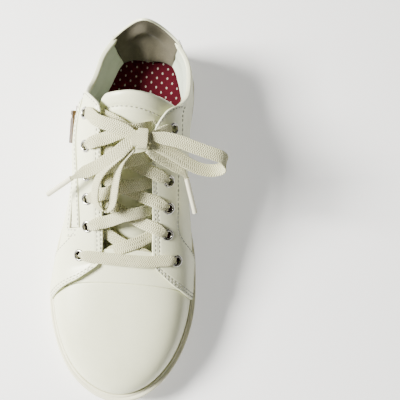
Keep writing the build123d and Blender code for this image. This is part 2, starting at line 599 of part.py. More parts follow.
def route_tube(points, radius):
    """Round bar along straight runs, joined by arcs as large as the runs allow."""
    points = [Vector(*p) for p in points]
    radii = []
    for a, b, c in zip(points, points[1:], points[2:]):
        turn = np.radians((b - a).get_angle(c - b))
        shorter = min((b - a).length, (c - b).length)
        radii.append(0.45 * shorter / np.tan(turn / 2))
    print("arc radii", [round(float(r), 1) for r in radii])
    path = FilletPolyline(*points, radius=radii)
    start = Plane(points[0], z_dir=points[1] - points[0])
    return sweep(start * Circle(radius), path=path.wire())


def make_bow():
    knot = Solid.make_box(*KNOT_SIZE).moved(Location(KNOT - Vector(*KNOT_SIZE) / 2))
    save("lace_knot", knot.fillet(2.5, knot.edges()))
    for name, points in ROUTES.items():
        save(name, route_tube(points, LACE_CORE))
    for name, tip in AGLETS.items():
        start, end = Vector(*ROUTES[f"lace_end_{name}"][-1]), Vector(*tip)
        start += (end - start).normalized() * 0.8
        save(f"aglet_{name}", Solid.make_cylinder(
            AGLET_RADIUS, (end - start).length, Plane(start, z_dir=end - start)))
    for side, stop in ((-1, Vector(6.0, 33.5, 96.2)), (1, Vector(19.6, 36.5, 94.0))):
        y, radius = EYELETS[side][0]
        start = point_on(side, y - 0.5, radius - 2.6, 4.2)
        lip = point_on(side, y - 4.5, 18.0, 6.2)
        middle = (lip + stop) * 0.5 + Vector(0, 0, 3.0)
        ups = [(side * 0.5, -0.3, 1), (side * 0.4, -0.3, 1), (side * 0.2, -0.4, 1), (0, -0.4, 1)]
        width = LACE_WIDTH if side < 0 else 5.0
        save("lace_strand_" + ("lateral" if side < 0 else "medial"),
             ribbon([start, lip, middle, stop], ups, width=width))


# --- Side zip ---
def zip_plane(distance):
    """Plane on the zip, x across it towards the instep, y up the zip, z outwards."""
    return Plane(ZIP_TOP + ZIP_RUN * distance, x_dir=ZIP_RUN.cross(ZIP_OUT) * -1, z_dir=ZIP_OUT)


def block(plane, x, y, z):
    """Box between pairs of limits in a plane's own axes."""
    size = [high - low for low, high in (x, y, z)]
    return plane.location * Solid.make_box(*size).moved(Location((x[0], y[0], z[0])))


def make_zip():
    t = lambda s: -station(ZIP_TOP.Y + (ZIP_BOTTOM.Y - ZIP_TOP.Y) * s)
    line = lambda q: lambda s: (t(s), zip_v(t(s), q))
    save("zip_tape_upper", panel(line(3.2), line(9.5), -1.6, -2.1))
    save("zip_tape_lower", panel(line(-9.0), line(-3.2), -1.6, -2.1))
    save("zip_flap", panel(line(4.3), line(9.3), LEATHER + 0.6, LEATHER + 1.5))
    length = (ZIP_BOTTOM - ZIP_TOP).length
    places = np.arange(1.5, length - 2, TOOTH_PITCH)
    for name, low, high, shift in (("upper", 0.75, 2.2, 0), ("lower", -2.2, -0.75, TOOTH_PITCH / 2)):
        save(f"zip_teeth_{name}", *[
            block(zip_plane(p + shift), (low, high), (-0.7, 0.7), (-2.4, -0.3)) for p in places])
    save("zip_bottom_stop", block(zip_plane(length + 1.4), (-2.4, 2.4), (-1.2, 1.2), (-2.6, 0.2)))
    save("zip_top_stops", *[block(zip_plane(-1.4), (q - 0.8, q + 0.8), (-0.9, 0.9), (-2.4, -0.3))
                            for q in (-1.5, 1.5)])
    place, half = zip_plane(SLIDER_START), SLIDER_SIZE[0] / 2
    end = SLIDER_SIZE[1] / 2
    slider = block(place, (-half, half), (-end, end), (0.3, 1.5))
    slider = slider.fuse(block(place, (-half, half), (-end, end), (-5.2, -4.2)))
    slider = slider.fuse(block(place, (-0.35, 0.35), (end - 3.0, end), (-4.3, 0.4)))
    for q in (-2.3, 1.7):
        slider = slider.fuse(block(place, (q, q + 0.6), (-1.4, 1.4), (1.4, 5.1)))
    pivot = place.offset(4.0)
    pin_plane = Plane(pivot.origin - pivot.x_dir * 2.2, z_dir=pivot.x_dir)
    slider = slider.fuse(Solid.make_cylinder(0.5, 4.4, pin_plane))
    save("zip_slider", slider)
    eye_plane = Plane(pivot.origin - pivot.x_dir * 1.4, z_dir=pivot.x_dir)
    pull = Solid.make_cylinder(1.2, 2.8, eye_plane)
    pull = pull.fuse(block(pivot, (-1.4, 1.4), (-4.0, 0), (-0.8, 0.8)))
    pull = pull.fuse(block(pivot, (-3.2, 3.2), (-20.0, -3.6), (-0.8, 0.8)))
    save("zip_pull", pull.cut(Solid.make_cylinder(0.56, 6, eye_plane.offset(-1.5))))


os.makedirs("parts", exist_ok=True)
make_sole()
make_toe()
make_vamp()
make_eyestays()
make_quarters()
make_collar()
make_tongue()
make_lacing()
make_bow()
make_zip()
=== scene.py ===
"""Looks of the right-foot bowling shoe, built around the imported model.

Shapes are worked out in millimetres in the part's own frame and turned into metres when a
mesh is made. The upper is drawn on the same reference surface as the solids: a station t
runs round the feather line, 0 at the toe tip and 300 at the back of the heel, negative on
the lateral side, and a height v runs up each section from the feather line to the ridge.
"""
import json
import bpy
import numpy as np
from mathutils import Matrix


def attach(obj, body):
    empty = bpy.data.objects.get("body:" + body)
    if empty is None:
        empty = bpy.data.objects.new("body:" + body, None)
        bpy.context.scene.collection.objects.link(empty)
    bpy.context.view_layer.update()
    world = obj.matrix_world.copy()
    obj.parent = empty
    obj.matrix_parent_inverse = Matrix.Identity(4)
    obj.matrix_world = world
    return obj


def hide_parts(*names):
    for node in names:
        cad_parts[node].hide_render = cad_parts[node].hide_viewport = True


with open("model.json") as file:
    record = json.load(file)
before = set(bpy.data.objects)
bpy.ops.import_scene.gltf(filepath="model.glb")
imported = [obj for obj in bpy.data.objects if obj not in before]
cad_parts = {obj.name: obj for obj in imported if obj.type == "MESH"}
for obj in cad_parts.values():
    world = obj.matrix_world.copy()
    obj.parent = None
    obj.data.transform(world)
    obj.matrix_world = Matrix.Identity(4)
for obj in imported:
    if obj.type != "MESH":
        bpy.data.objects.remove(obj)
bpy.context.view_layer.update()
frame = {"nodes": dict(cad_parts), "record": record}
MM = 0.001

# --- Driving dimensions, millimetres ---
TOE_POLE = (4.8, -54.0)
HEEL_CENTRE_Y = 94.0
FAN_END, HEEL_START, BACK = 100.0, 248.0, 300.0
FAN_LINEAR, FAN_SQUARE = 0.727, 0.273       # how the sections spread round the toe
POLE_Z, POLE_SLOPE = 45.0, 0.26
LEATHER, STAY_FACE = 1.3, 1.65              # faces of the upper and of an eyestay, from the surface
LACE_WIDTH, LACE_THICKNESS = 8.0, 1.3
LACE_IN_HOLE = 3.2                          # width of a lace squeezed through an eyelet
TOE_SPRING, SPRING_START = 4.5, -88.0
SOLE_ENDS = (-125.2, 125.4)
PADS = ((-118.2, 14.2), (61.8, 122.2))      # y of the slide pad and of the heel pad
OPENING_START, OPENING_LENGTH = 206.0, 40.0 # stations over which the collar opening comes in
COLLAR_START = {-1: 215.0, 1: 207.0}        # where the edge of each quarter leaves its eyestay
QUARTER_START, LINING_START = 104.0, 211.0
HEEL_LINING_START, HEEL_TAB_START = 268.7, 270.5
COLLAR_SEAM, TONGUE_SEAM, TAB_SEAM = 19.0, 11.0, 2.0
FRONT_BOW = 6.0                             # how far an eyestay's front edge bows towards the toe
EYELETS = {
    -1: [(49.5, 27.3), (30.0, 26.0), (13.0, 26.0), (-1.5, 26.0), (-18.5, 26.3), (-37.0, 31.8)],
    1: [(44.0, 27.2), (28.0, 26.5), (13.0, 26.0), (-3.5, 26.0), (-20.0, 25.4), (-36.0, 32.0)]}
ZIP_TOP = np.array([-33.4, 60.0, 69.5])
ZIP_BOTTOM = np.array([-34.9, -19.0, 46.5])
ZIP_EDGE = 4.2
BELOW = -0.05
KNOT = np.array([12.2, 31.5, 95.4])
SIDES = {-1: "lateral", 1: "medial"}


# --- Camera, at the photograph's viewing angle ---
CAMERA_PLACE = (48.69, -64.37, 402.21)
CAMERA_YAW, CAMERA_PITCH, CAMERA_ROLL = 0.0228734572, 1.37530024, 0.0950845740
CAMERA_LENS = 47.66


def add_object(name, data):
    """New object in the scene."""
    thing = bpy.data.objects.new(name, data)
    bpy.context.scene.collection.objects.link(thing)
    return thing


def placed(axes, place):
    """Matrix of three axes and a place."""
    matrix = Matrix.Identity(4)
    for column, values in enumerate((*axes, place)):
        for row in range(3):
            matrix[row][column] = float(values[row])
    return matrix


def make_camera():
    yaw, pitch, roll = CAMERA_YAW, CAMERA_PITCH, CAMERA_ROLL
    ahead = np.array([np.sin(yaw) * np.cos(pitch), np.cos(yaw) * np.cos(pitch), -np.sin(pitch)])
    level = np.array([np.cos(yaw), -np.sin(yaw), 0.0])
    above = np.cross(level, ahead)
    right = np.cos(roll) * level + np.sin(roll) * above
    up = -np.sin(roll) * level + np.cos(roll) * above
    data = bpy.data.cameras.new("camera")
    data.lens, data.sensor_width = CAMERA_LENS, 36.0
    data.clip_start, data.clip_end = 0.01, 20.0
    camera = add_object("camera", data)
    camera.matrix_world = placed((right, up, -ahead), np.array(CAMERA_PLACE) * MM)
    bpy.context.scene.camera = camera


make_camera()


# --- Curves ---
class Curve:
    """Cubic spline through (x, value) pairs; closed when a period is given."""

    def __init__(self, *points, period=None):
        self.period = period
        xs, ys = (np.array(column, float) for column in zip(*sorted(points)))
        self.low = xs[0]
        if period:
            xs, ys = np.append(xs, xs[0] + period), np.append(ys, ys[0])
        self.xs, self.ys = xs, ys
        count, gaps = len(xs), np.diff(xs)
        slopes = np.diff(ys) / gaps
        matrix, right = np.eye(count), np.zeros(count)
        for i in range(1, count - 1):
            matrix[i, i - 1:i + 2] = gaps[i - 1], 2 * (gaps[i - 1] + gaps[i]), gaps[i]
            right[i] = 6 * (slopes[i] - slopes[i - 1])
        if period:
            matrix[0, :2] = 2 * (gaps[-1] + gaps[0]), gaps[0]
            matrix[0, -2] = gaps[-1]
            right[0] = 6 * (slopes[0] - slopes[-1])
            matrix[-1, 0] = -1
        self.bends = np.linalg.solve(matrix, right)

    def __call__(self, x):
        x = np.asarray(x, float)
        if self.period:
            x = self.low + np.mod(x - self.low, self.period)
        x = np.clip(x, self.xs[0], self.xs[-1])
        i = np.clip(np.searchsorted(self.xs, x) - 1, 0, len(self.xs) - 2)
        gap = self.xs[i + 1] - self.xs[i]
        a, b = (self.xs[i + 1] - x) / gap, (x - self.xs[i]) / gap
        bend = (a ** 3 - a) * self.bends[i] + (b ** 3 - b) * self.bends[i + 1]
        return a * self.ys[i] + b * self.ys[i + 1] + bend * gap ** 2 / 6


def ring(lateral, medial=None):
    """Closed curve over the stations, from pairs of |station| and value for each side."""
    left = [(-t, value) for t, value in lateral if 0 < t < BACK]
    right = [(t, value) for t, value in (medial or lateral) if 0 < t < BACK]
    ends = [(0.0, dict(lateral)[0]), (-BACK, dict(lateral)[BACK])]
    return Curve(*left, *right, *ends, period=2 * BACK)


def ease(x):
    """Smooth step from 0 to 1."""
    x = np.clip(x, 0, 1)
    return x * x * (3 - 2 * x)


def blend(low, high, share):
    """Value between two others, at a share from 0 to 1."""
    return low * (1 - share) + high * share


def turns(count):
    """Angles spaced evenly round a circle."""
    return np.linspace(0, 2 * np.pi, count + 1)[:-1]


def unit(vectors):
    return vectors / np.maximum(np.linalg.norm(vectors, axis=-1, keepdims=True), 1e-9)


def run_along(line):
    """Distance of each point of a line from its first."""
    return np.concatenate([[0], np.cumsum(np.linalg.norm(np.diff(line, axis=0), axis=1))])


SOLE_RADIUS = ring(
    [(0, 79.5), (20, 77.2), (40, 71.2), (60, 63.8), (80, 58.8), (100, 57.1), (120, 56.0),
     (144, 51.6), (168, 45.2), (190, 40.6), (214, 37.4), (248, 35.8), (268, 35.4),
     (285, 37.4), (300, 39.5)],
    [(20, 75.6), (40, 66.8), (60, 57.4), (80, 50.6), (100, 47.3), (120, 45.6),
     (144, 41.4), (168, 37.4), (190, 35.6), (214, 35.6), (248, 35.6), (268, 35.4),
     (285, 37.4)])
LEDGE = ring([(0, 6.0), (50, 5.0), (100, 4.0), (150, 3.4), (200, 3.2), (250, 3.0), (300, 3.0)])
AXIS_X = Curve((-60, 4.8), (-20, 4.5), (0, 3.3), (40, 1.9), (62, 2.6), (94, 4.6), (134, 4.8))
RIM_Z = Curve((-134, 21.5), (-95, 18.8), (-54, 17.6), (0, 19.8), (45, 24.0), (94, 27.2),
              (134, 28.2))
LEAN = ring([(0, 6), (60, 5), (100, 4), (130, 6), (162, 10), (190, 20), (214, 26), (232, 18),
             (250, 9), (275, 9), (300, 11)],
            [(60, 5), (100, 8), (130, 20), (150, 29), (175, 30), (214, 28), (232, 18),
             (250, 9), (275, 9)])
LOWER_REACH = ring([(0, 17), (60, 18), (100, 18), (140, 24), (170, 28), (214, 28), (240, 22),
                    (270, 19), (300, 19)])
UPPER_REACH = ring([(0, 36), (50, 34), (100, 33), (150, 32), (200, 34), (225, 27), (248, 21),
                    (270, 19), (300, 19)])
SHAFT_RADIUS = ring([(0, 29), (100, 29), (200, 29), (248, 28.5), (270, 24.5), (300, 23.5)],
                    [(100, 31), (200, 31), (248, 30.0), (270, 25.0)])
RIDGE_Z = Curve((-54, POLE_Z), (-40, 48.9), (-20, 58.5), (0, 68.5), (20, 79.0), (45, 93.0),
                (60, 99.0), (94, 93.0), (134, 92.0))
COLLAR_Z = ring([(0, 90), (200, 92), (213, 84), (221, 75), (230, 64), (242, 58.5), (262, 60),
                 (284, 68), (300, 78)],
                [(200, 90), (213, 80), (221, 72), (230, 64.5), (242, 60.5), (262, 61), (284, 68)])


# --- The reference surface of the upper ---
def section(t):
    """Axis point, outward direction and the four control points of the section at t."""
    t = (np.asarray(t, float) + BACK) % (2 * BACK) - BACK
    side, station = np.where(t < 0, -1.0, 1.0), np.abs(t)
    in_toe, in_heel = station < FAN_END, station > HEEL_START
    w = np.clip(station / FAN_END, 0, 1)
    toe_angle = np.pi / 2 * (FAN_LINEAR * w + FAN_SQUARE * w * w)
    heel_angle = np.pi / 2 * np.clip((station - HEEL_START) / (BACK - HEEL_START), 0, 1)
    axis_y = np.clip(TOE_POLE[1] + station - FAN_END, TOE_POLE[1], HEEL_CENTRE_Y)
    axis_x = np.where(in_toe, TOE_POLE[0], AXIS_X(axis_y))
    out_x = side * np.where(in_toe, np.sin(toe_angle), np.cos(heel_angle))
    out_y = np.where(in_toe, -np.cos(toe_angle), np.where(in_heel, np.sin(heel_angle), 0.0))
    foot = SOLE_RADIUS(t) - LEDGE(t)
    foot_z = RIM_Z(axis_y + out_y * foot)
    lean = np.radians(LEAN(t))
    opening = ease((station - OPENING_START) / OPENING_LENGTH)
    fall = np.where(in_toe, np.arctan(POLE_SLOPE * np.cos(toe_angle)), opening * np.pi / 2)
    top, top_z = opening * SHAFT_RADIUS(t), RIDGE_Z(axis_y)
    radii = [foot, foot + LOWER_REACH(t) * np.sin(lean), top + UPPER_REACH(t) * np.cos(fall), top]
    heights = [foot_z, foot_z + LOWER_REACH(t) * np.cos(lean),
               top_z - UPPER_REACH(t) * np.sin(fall), top_z]
    return (axis_x, axis_y), (out_x, out_y), radii, heights


def profile(t, v):
    """Radius and height of the section at t, at height v."""
    _, _, radii, heights = section(t)
    weights = [(1 - v) ** 3, 3 * (1 - v) ** 2 * v, 3 * (1 - v) * v ** 2, v ** 3]
    radius = sum(weight * value for weight, value in zip(weights, radii))
    return radius, sum(weight * value for weight, value in zip(weights, heights))


def outward(t, radius):
    """x and y at a distance out from the axis of the section at t."""
    (axis_x, axis_y), (out_x, out_y), _, _ = section(t)
    return axis_x + out_x * radius, axis_y + out_y * radius


def on_surface(t, v):
    """Point on the upper's outer surface."""
    radius, height = profile(t, v)
    return np.stack([*outward(t, radius), height], axis=-1)


def normal(t, v):
    inside = np.clip(v, 0.002, 0.985)
    along = on_surface(t + 0.5, inside) - on_surface(t - 0.5, inside)
    up = on_surface(t, inside + 0.002) - on_surface(t, inside - 0.002)
    return unit(np.cross(along, up))


def surface(t, v, offset=0.0):
    """Point at a distance outside the upper's surface."""
    t, v = np.broadcast_arrays(np.asarray(t, float), np.asarray(v, float))
    return on_surface(t, v) + np.asarray(offset)[..., None] * normal(t, v)


HEIGHTS = np.linspace(0, 1, 201)


def v_at_height(t, height):
    """Height parameter where the section at t reaches a real height."""
    return np.array([np.interp(h, profile(s, HEIGHTS)[1], HEIGHTS)
                     for s, h in zip(np.atleast_1d(t), np.broadcast_to(height, np.shape(t)))])


def v_at_radius(t, radius):
    """Height parameter, near the top, where the section at t reaches a radius."""
    upper = HEIGHTS[60:]
    return np.array([np.interp(-r, -profile(s, upper)[0], upper)
                     for s, r in zip(np.atleast_1d(t), np.broadcast_to(radius, np.shape(t)))])


def v_shift(t, v, distance):
    """Height parameter a real distance further up the section."""
    step = np.linalg.norm(on_surface(t, v + 0.01) - on_surface(t, v - 0.01), axis=-1) / 0.02
    return v + distance / step


def station(y):
    """Station of the section at y, between the toe and heel fans."""
    return y - TOE_POLE[1] + FAN_END


def point_on(side, y, radius, offset=0.0):
    t = np.array([side * station(y)])
    return surface(t, v_at_radius(t, radius), offset)[0]


def normal_on(side, y, radius):
    t = np.array([side * station(y)])
    return normal(t, v_at_radius(t, radius))[0]


# --- Materials ---
class Nodes:
    """Short way to wire a procedural material."""

    def __init__(self, name):
        self.material = bpy.data.materials.new(name)
        self.material.use_nodes = True
        self.tree = self.material.node_tree
        self.shader = self.tree.nodes["Principled BSDF"]

    def add(self, kind, **inputs):
        node = self.tree.nodes.new("ShaderNode" + kind)
        for key, value in inputs.items():
            if hasattr(node, key) and key not in node.inputs:
                setattr(node, key, value)
            else:
                self.plug(value, node.inputs[key.replace("_", " ")])
        return node

    def plug(self, value, socket):
        if isinstance(value, bpy.types.NodeSocket):
            self.tree.links.new(value, socket)
        else:
            socket.default_value = value

    def math(self, operation, a, b=0.0, c=0.0):
        node = self.tree.nodes.new("ShaderNodeMath")
        node.operation = operation
        for socket, value in zip(node.inputs, (a, b, c)):
            self.plug(value, socket)
        return node.outputs[0]

    def place(self):
        return self.tree.nodes.new("ShaderNodeTexCoord").outputs["Object"]

    def axes(self, vector):
        return self.add("SeparateXYZ", Vector=vector).outputs

    def noise(self, scale, detail=3.0, rough=0.55):
        return self.add("TexNoise", Scale=scale, Detail=detail, Roughness=rough,
                        Vector=self.place()).outputs["Fac"]

    def cells(self, scale):
        node = self.add("TexVoronoi", feature="SMOOTH_F1", Scale=scale, Vector=self.place())
        return node.outputs["Distance"]

    def ramp(self, value, *stops):
        node = self.tree.nodes.new("ShaderNodeValToRGB")
        self.plug(value, node.inputs["Fac"])
        elements = node.color_ramp.elements
        while len(elements) < len(stops):
            elements.new(0.5)
        for element, (place, color) in zip(elements, stops):
            element.position = place
            element.color = (*color, 1.0)
        return node.outputs["Color"]

    def scale(self, value, low, high):
        """Map 0..1 to a range."""
        return self.math("MULTIPLY_ADD", value, high - low, low)

    def wave(self, value, frequency):
        return self.math("SINE", self.math("MULTIPLY", value, frequency))

    def cross(self, a, b):
        """Product of two waves, mapped to 0..1."""
        return self.math("MULTIPLY_ADD", self.math("MULTIPLY", a, b), 0.5, 0.5)

    def bump(self, height, distance, strength=1.0, under=None):
        node = self.add("Bump", Height=height, Distance=distance, Strength=strength)
        if under is not None:
            self.plug(under, node.inputs["Normal"])
        return node.outputs["Normal"]

    def finish(self, color, rough, bump=None, **fixed):
        self.plug(color, self.shader.inputs["Base Color"])
        self.plug(rough, self.shader.inputs["Roughness"])
        if bump is not None:
            self.plug(bump, self.shader.inputs["Normal"])
        for key, value in fixed.items():
            self.shader.inputs[key.replace("_", " ")].default_value = value
        return self.material


def leather(name, light, dark, rough=(0.36, 0.5), pebble=0.00005, crease=0.00018, grain=1100.0):
    """Finished leather: fine pebble, soft creases and a slightly uneven tone."""
    n = Nodes(name)
    tone = n.ramp(n.noise(38.0, 5.0, 0.6), (0.3, dark), (0.62, light))
    fine = n.bump(n.cells(grain), pebble, 0.7)
    pores = n.bump(n.noise(2600.0, 2.0), 0.00002, 0.5, fine)
    folds = n.bump(n.noise(95.0, 4.0, 0.5), crease, 0.55, pores)
    return n.finish(tone, n.scale(n.noise(140.0), *rough), folds,
                    Coat_Weight=0.12, Coat_Roughness=0.3)


def suede(name, light, dark):
    n = Nodes(name)
    nap = n.noise(1500.0, 5.0, 0.7)
    mixed = n.math("ADD", n.math("MULTIPLY", nap, 0.5), n.math("MULTIPLY", n.noise(70.0), 0.5))
    tone = n.ramp(mixed, (0.35, dark), (0.65, light))
    return n.finish(tone, n.scale(nap, 0.86, 0.98), n.bump(nap, 0.00018, 0.8),
                    Sheen_Weight=0.06, Sheen_Roughness=0.5, Specular_IOR_Level=0.15)


def lace_cloth(name, light, dark):
    """Flat woven lace: chevrons of small stitches, laid out by the ribbon's own coordinates. Its
    colour mixes random tone with painted shade that darkens the gaps between the stitches.
    """
    n = Nodes(name)
    pick_pitch, row_pitch = 1.5, 1.45
    along, across, _ = n.axes(n.add("Attribute", attribute_name="weave").outputs["Vector"])
    zig = n.math("MULTIPLY", n.math("PINGPONG", across, row_pitch), 0.5)
    weave = n.cross(n.wave(across, 2 * np.pi / row_pitch),
                    n.wave(n.math("ADD", along, zig), 2 * np.pi / pick_pitch))
    fuzz = n.noise(2200.0, 3.0)
    height = n.math("MULTIPLY_ADD", fuzz, 0.3, weave)
    # colour: partly random tone, partly painted shade that darkens the gaps between the stitches
    tone_and_gap_shade = n.math("MULTIPLY_ADD", n.noise(90.0), 0.35, n.math("MULTIPLY", weave, 0.65))
    tone = n.ramp(tone_and_gap_shade, (0.22, dark), (0.56, light))
    return n.finish(tone, n.scale(fuzz, 0.72, 0.9), n.bump(height, 0.0009, 1.0),
                    Sheen_Weight=0.25, Sheen_Roughness=0.4)


def woven(name, light, dark, waves=5600.0):
    """Plain cloth of crossing threads."""
    n = Nodes(name)
    x, y, z = n.axes(n.place())
    cloth = n.cross(n.wave(n.math("ADD", x, z), waves), n.wave(n.math("SUBTRACT", y, z), waves))
    tone = n.ramp(n.math("MULTIPLY_ADD", n.noise(120.0), 0.5, n.math("MULTIPLY", cloth, 0.5)),
                  (0.2, dark), (0.7, light))
    return n.finish(tone, n.scale(cloth, 0.7, 0.88), n.bump(cloth, 0.0002, 0.8),
                    Sheen_Weight=0.2)


def dotted(name, base, dark, dot):
    """Dark red cover with staggered pale dots, and a ribbed weave between them."""
    n = Nodes(name)
    x, y, _ = n.axes(n.place())
    pitch_x, pitch_y, stretch, dot_radius = 0.0078, 0.0074, 2.6, 0.13

    def from_middle(place, pitch, shift):
        """Square of the distance from the middle of a cell, in cells."""
        cell = n.math("FRACT", n.math("MULTIPLY_ADD", place, 1 / pitch, shift))
        away = n.math("SUBTRACT", cell, 0.5)
        return n.math("MULTIPLY", away, away)

    def lattice(shift):
        square_x = n.math("MULTIPLY", from_middle(x, pitch_x, 40 + shift), stretch)
        return n.math("SQRT", n.math("ADD", square_x, from_middle(y, pitch_y, 60 + shift)))

    mask = n.math("LESS_THAN", n.math("MINIMUM", lattice(0.0), lattice(0.5)), dot_radius)
    cloth = n.cross(n.wave(n.math("ADD", x, y), 7000.0), n.noise(900.0))
    red = n.ramp(cloth, (0.25, dark), (0.75, base))
    mix = n.add("Mix", data_type="RGBA")
    n.plug(mask, mix.inputs[0])
    n.plug(red, mix.inputs[6])
    n.plug((*dot, 1.0), mix.inputs[7])
    return n.finish(mix.outputs[2], n.scale(cloth, 0.75, 0.9),
                    n.bump(n.math("ADD", cloth, mask), 0.00025, 0.8), Specular_IOR_Level=0.1)


def metal(name, light, dark, rough=(0.16, 0.34), wear=160.0, scratch=0.00003):
    n = Nodes(name)
    tone = n.ramp(n.noise(wear, 4.0, 0.65), (0.38, dark), (0.6, light))
    marks = n.noise(1800.0, 2.0)
    return n.finish(tone, n.scale(n.noise(wear * 2.2), *rough), n.bump(marks, scratch, 0.5),
                    Metallic=1.0)


def moulded(name, light, dark, rough=(0.42, 0.58), grain=0.00006, scale=1500.0, **fixed):
    """Rubber, plastic, foam and board: a fine moulded grain and uneven tone."""
    n = Nodes(name)
    tone = n.ramp(n.noise(55.0, 4.0, 0.6), (0.32, dark), (0.64, light))
    fine = n.bump(n.noise(scale, 3.0), grain, 0.6)
    swell = n.bump(n.noise(60.0), 0.00008, 0.4, fine)
    return n.finish(tone, n.scale(n.noise(200.0), *rough), swell, **fixed)


MATERIALS = {name: maker(name, *looks) for maker, name, *looks in (
    (leather, "white_leather", (0.83, 0.845, 0.60), (0.77, 0.785, 0.54), (0.3, 0.42)),
    (leather, "mint_lining", (0.60, 0.66, 0.53), (0.52, 0.58, 0.46), (0.55, 0.7), 0.00008),
    (suede, "slide_felt", (0.62, 0.60, 0.53), (0.50, 0.48, 0.42)),
    (suede, "taupe_suede", (0.125, 0.112, 0.078), (0.08, 0.072, 0.05)),
    (moulded, "sole_rubber", (0.84, 0.82, 0.62), (0.77, 0.75, 0.55)),
    (moulded, "heel_rubber", (0.05, 0.05, 0.05), (0.03, 0.03, 0.03), (0.5, 0.7), 0.0002, 900.0),
    (moulded, "foam", (0.80, 0.77, 0.66), (0.70, 0.67, 0.57), (0.8, 0.95), 0.0003, 1100.0),
    (moulded, "board", (0.40, 0.30, 0.20), (0.30, 0.22, 0.14), (0.75, 0.9), 0.00015, 700.0),
    (metal, "shank_steel", (0.60, 0.60, 0.60), (0.42, 0.42, 0.43), (0.25, 0.42)),
    (metal, "nickel", (0.66, 0.65, 0.61), (0.36, 0.35, 0.32)),
    (metal, "zip_brass", (0.15, 0.095, 0.05), (0.05, 0.03, 0.018), (0.3, 0.5), 420.0),
    (dotted, "insole_fabric", (0.085, 0.003, 0.011), (0.032, 0.001, 0.004), (0.34, 0.31, 0.26)),
    # lace: the darker colour is random tone and also painted shade in the gaps between stitches
    (lace_cloth, "lace_cotton", (0.95, 0.93, 0.60), (0.52, 0.50, 0.24)),
    (woven, "zip_tape", (0.66, 0.65, 0.57), (0.48, 0.47, 0.40)))}
MATERIALS["aglet_plastic"] = moulded("aglet_plastic", (0.84, 0.81, 0.62), (0.76, 0.73, 0.54),
                                     (0.18, 0.3), 0.00002, 900.0, Coat_Weight=0.5)
THREAD = moulded("thread", (0.50, 0.50, 0.41), (0.38, 0.38, 0.31), (0.6, 0.75), 0.0001, 5200.0)


# --- Meshes ---
def make_object(name, points, faces, slot, material=None, weave=None):
    """Smooth-shaded piece from points in millimetres."""
    mesh = bpy.data.meshes.new(name)
    mesh.from_pydata((np.asarray(points) * MM).tolist(), [], faces)
    mesh.update()
    mesh.polygons.foreach_set("use_smooth", [True] * len(mesh.polygons))
    if weave is not None:
        attribute = mesh.attributes.new("weave", "FLOAT_VECTOR", "POINT")
        attribute.data.foreach_set("vector", np.asarray(weave, float).ravel())
    piece = add_object(name, mesh)
    mesh.materials.append(material or MATERIALS[slot])
    return piece


def settle(piece, *nodes, body="root"):
    """Let a piece ride on its body, in place of the nodes it replaces."""
    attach(piece, body)
    if nodes:
        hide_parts(*nodes)


def grid_faces(rows, columns, start=0, closed=False, joined=False, flip=False):
    """Faces of a grid; closed joins its last column to the first, and joined its last row."""
    faces = []
    for i in range(rows if joined else rows - 1):
        row, after = start + i * columns, start + (i + 1) % rows * columns
        for j in range(columns if closed else columns - 1):
            k = (j + 1) % columns
            face = (row + j, row + k, after + k, after + j)
            faces.append(face[::-1] if flip else face)
    return faces


def tube_faces(rings, size, start=0, joined=False, flip=False):
    """Faces of a tube of rings of points, capped unless its ends are joined."""
    faces = grid_faces(rings, size, start, closed=True, joined=joined, flip=flip)
    if not joined:
        step = -1 if flip else 1
        first, last = (tuple(range(start + row * size, start + (row + 1) * size))
                       for row in (0, rings - 1))
        faces += [first[::-step], last[::step]]
    return faces


def spans(points, axis):
    """Distance of each grid point from the first and from the last along an axis."""
    steps = np.linalg.norm(np.diff(points, axis=axis), axis=-1)
    pad = [(0, 0), (0, 0)]
    pad[axis] = (1, 0)
    run = np.cumsum(np.pad(steps, pad), axis=axis)
    total = run[-1:, :] if axis == 0 else run[:, -1:]
    return run, total - run


def spread(count, length, rim=(0.0, 0.3, 0.7, 1.3)):
    """Places from 0 to 1, close together at both ends so that an edge can be rounded."""
    ends = np.array(rim) / length
    middle = np.linspace(ends[-1], 1 - ends[-1], count)[1:-1]
    return np.concatenate([ends, middle, 1 - ends[::-1]])


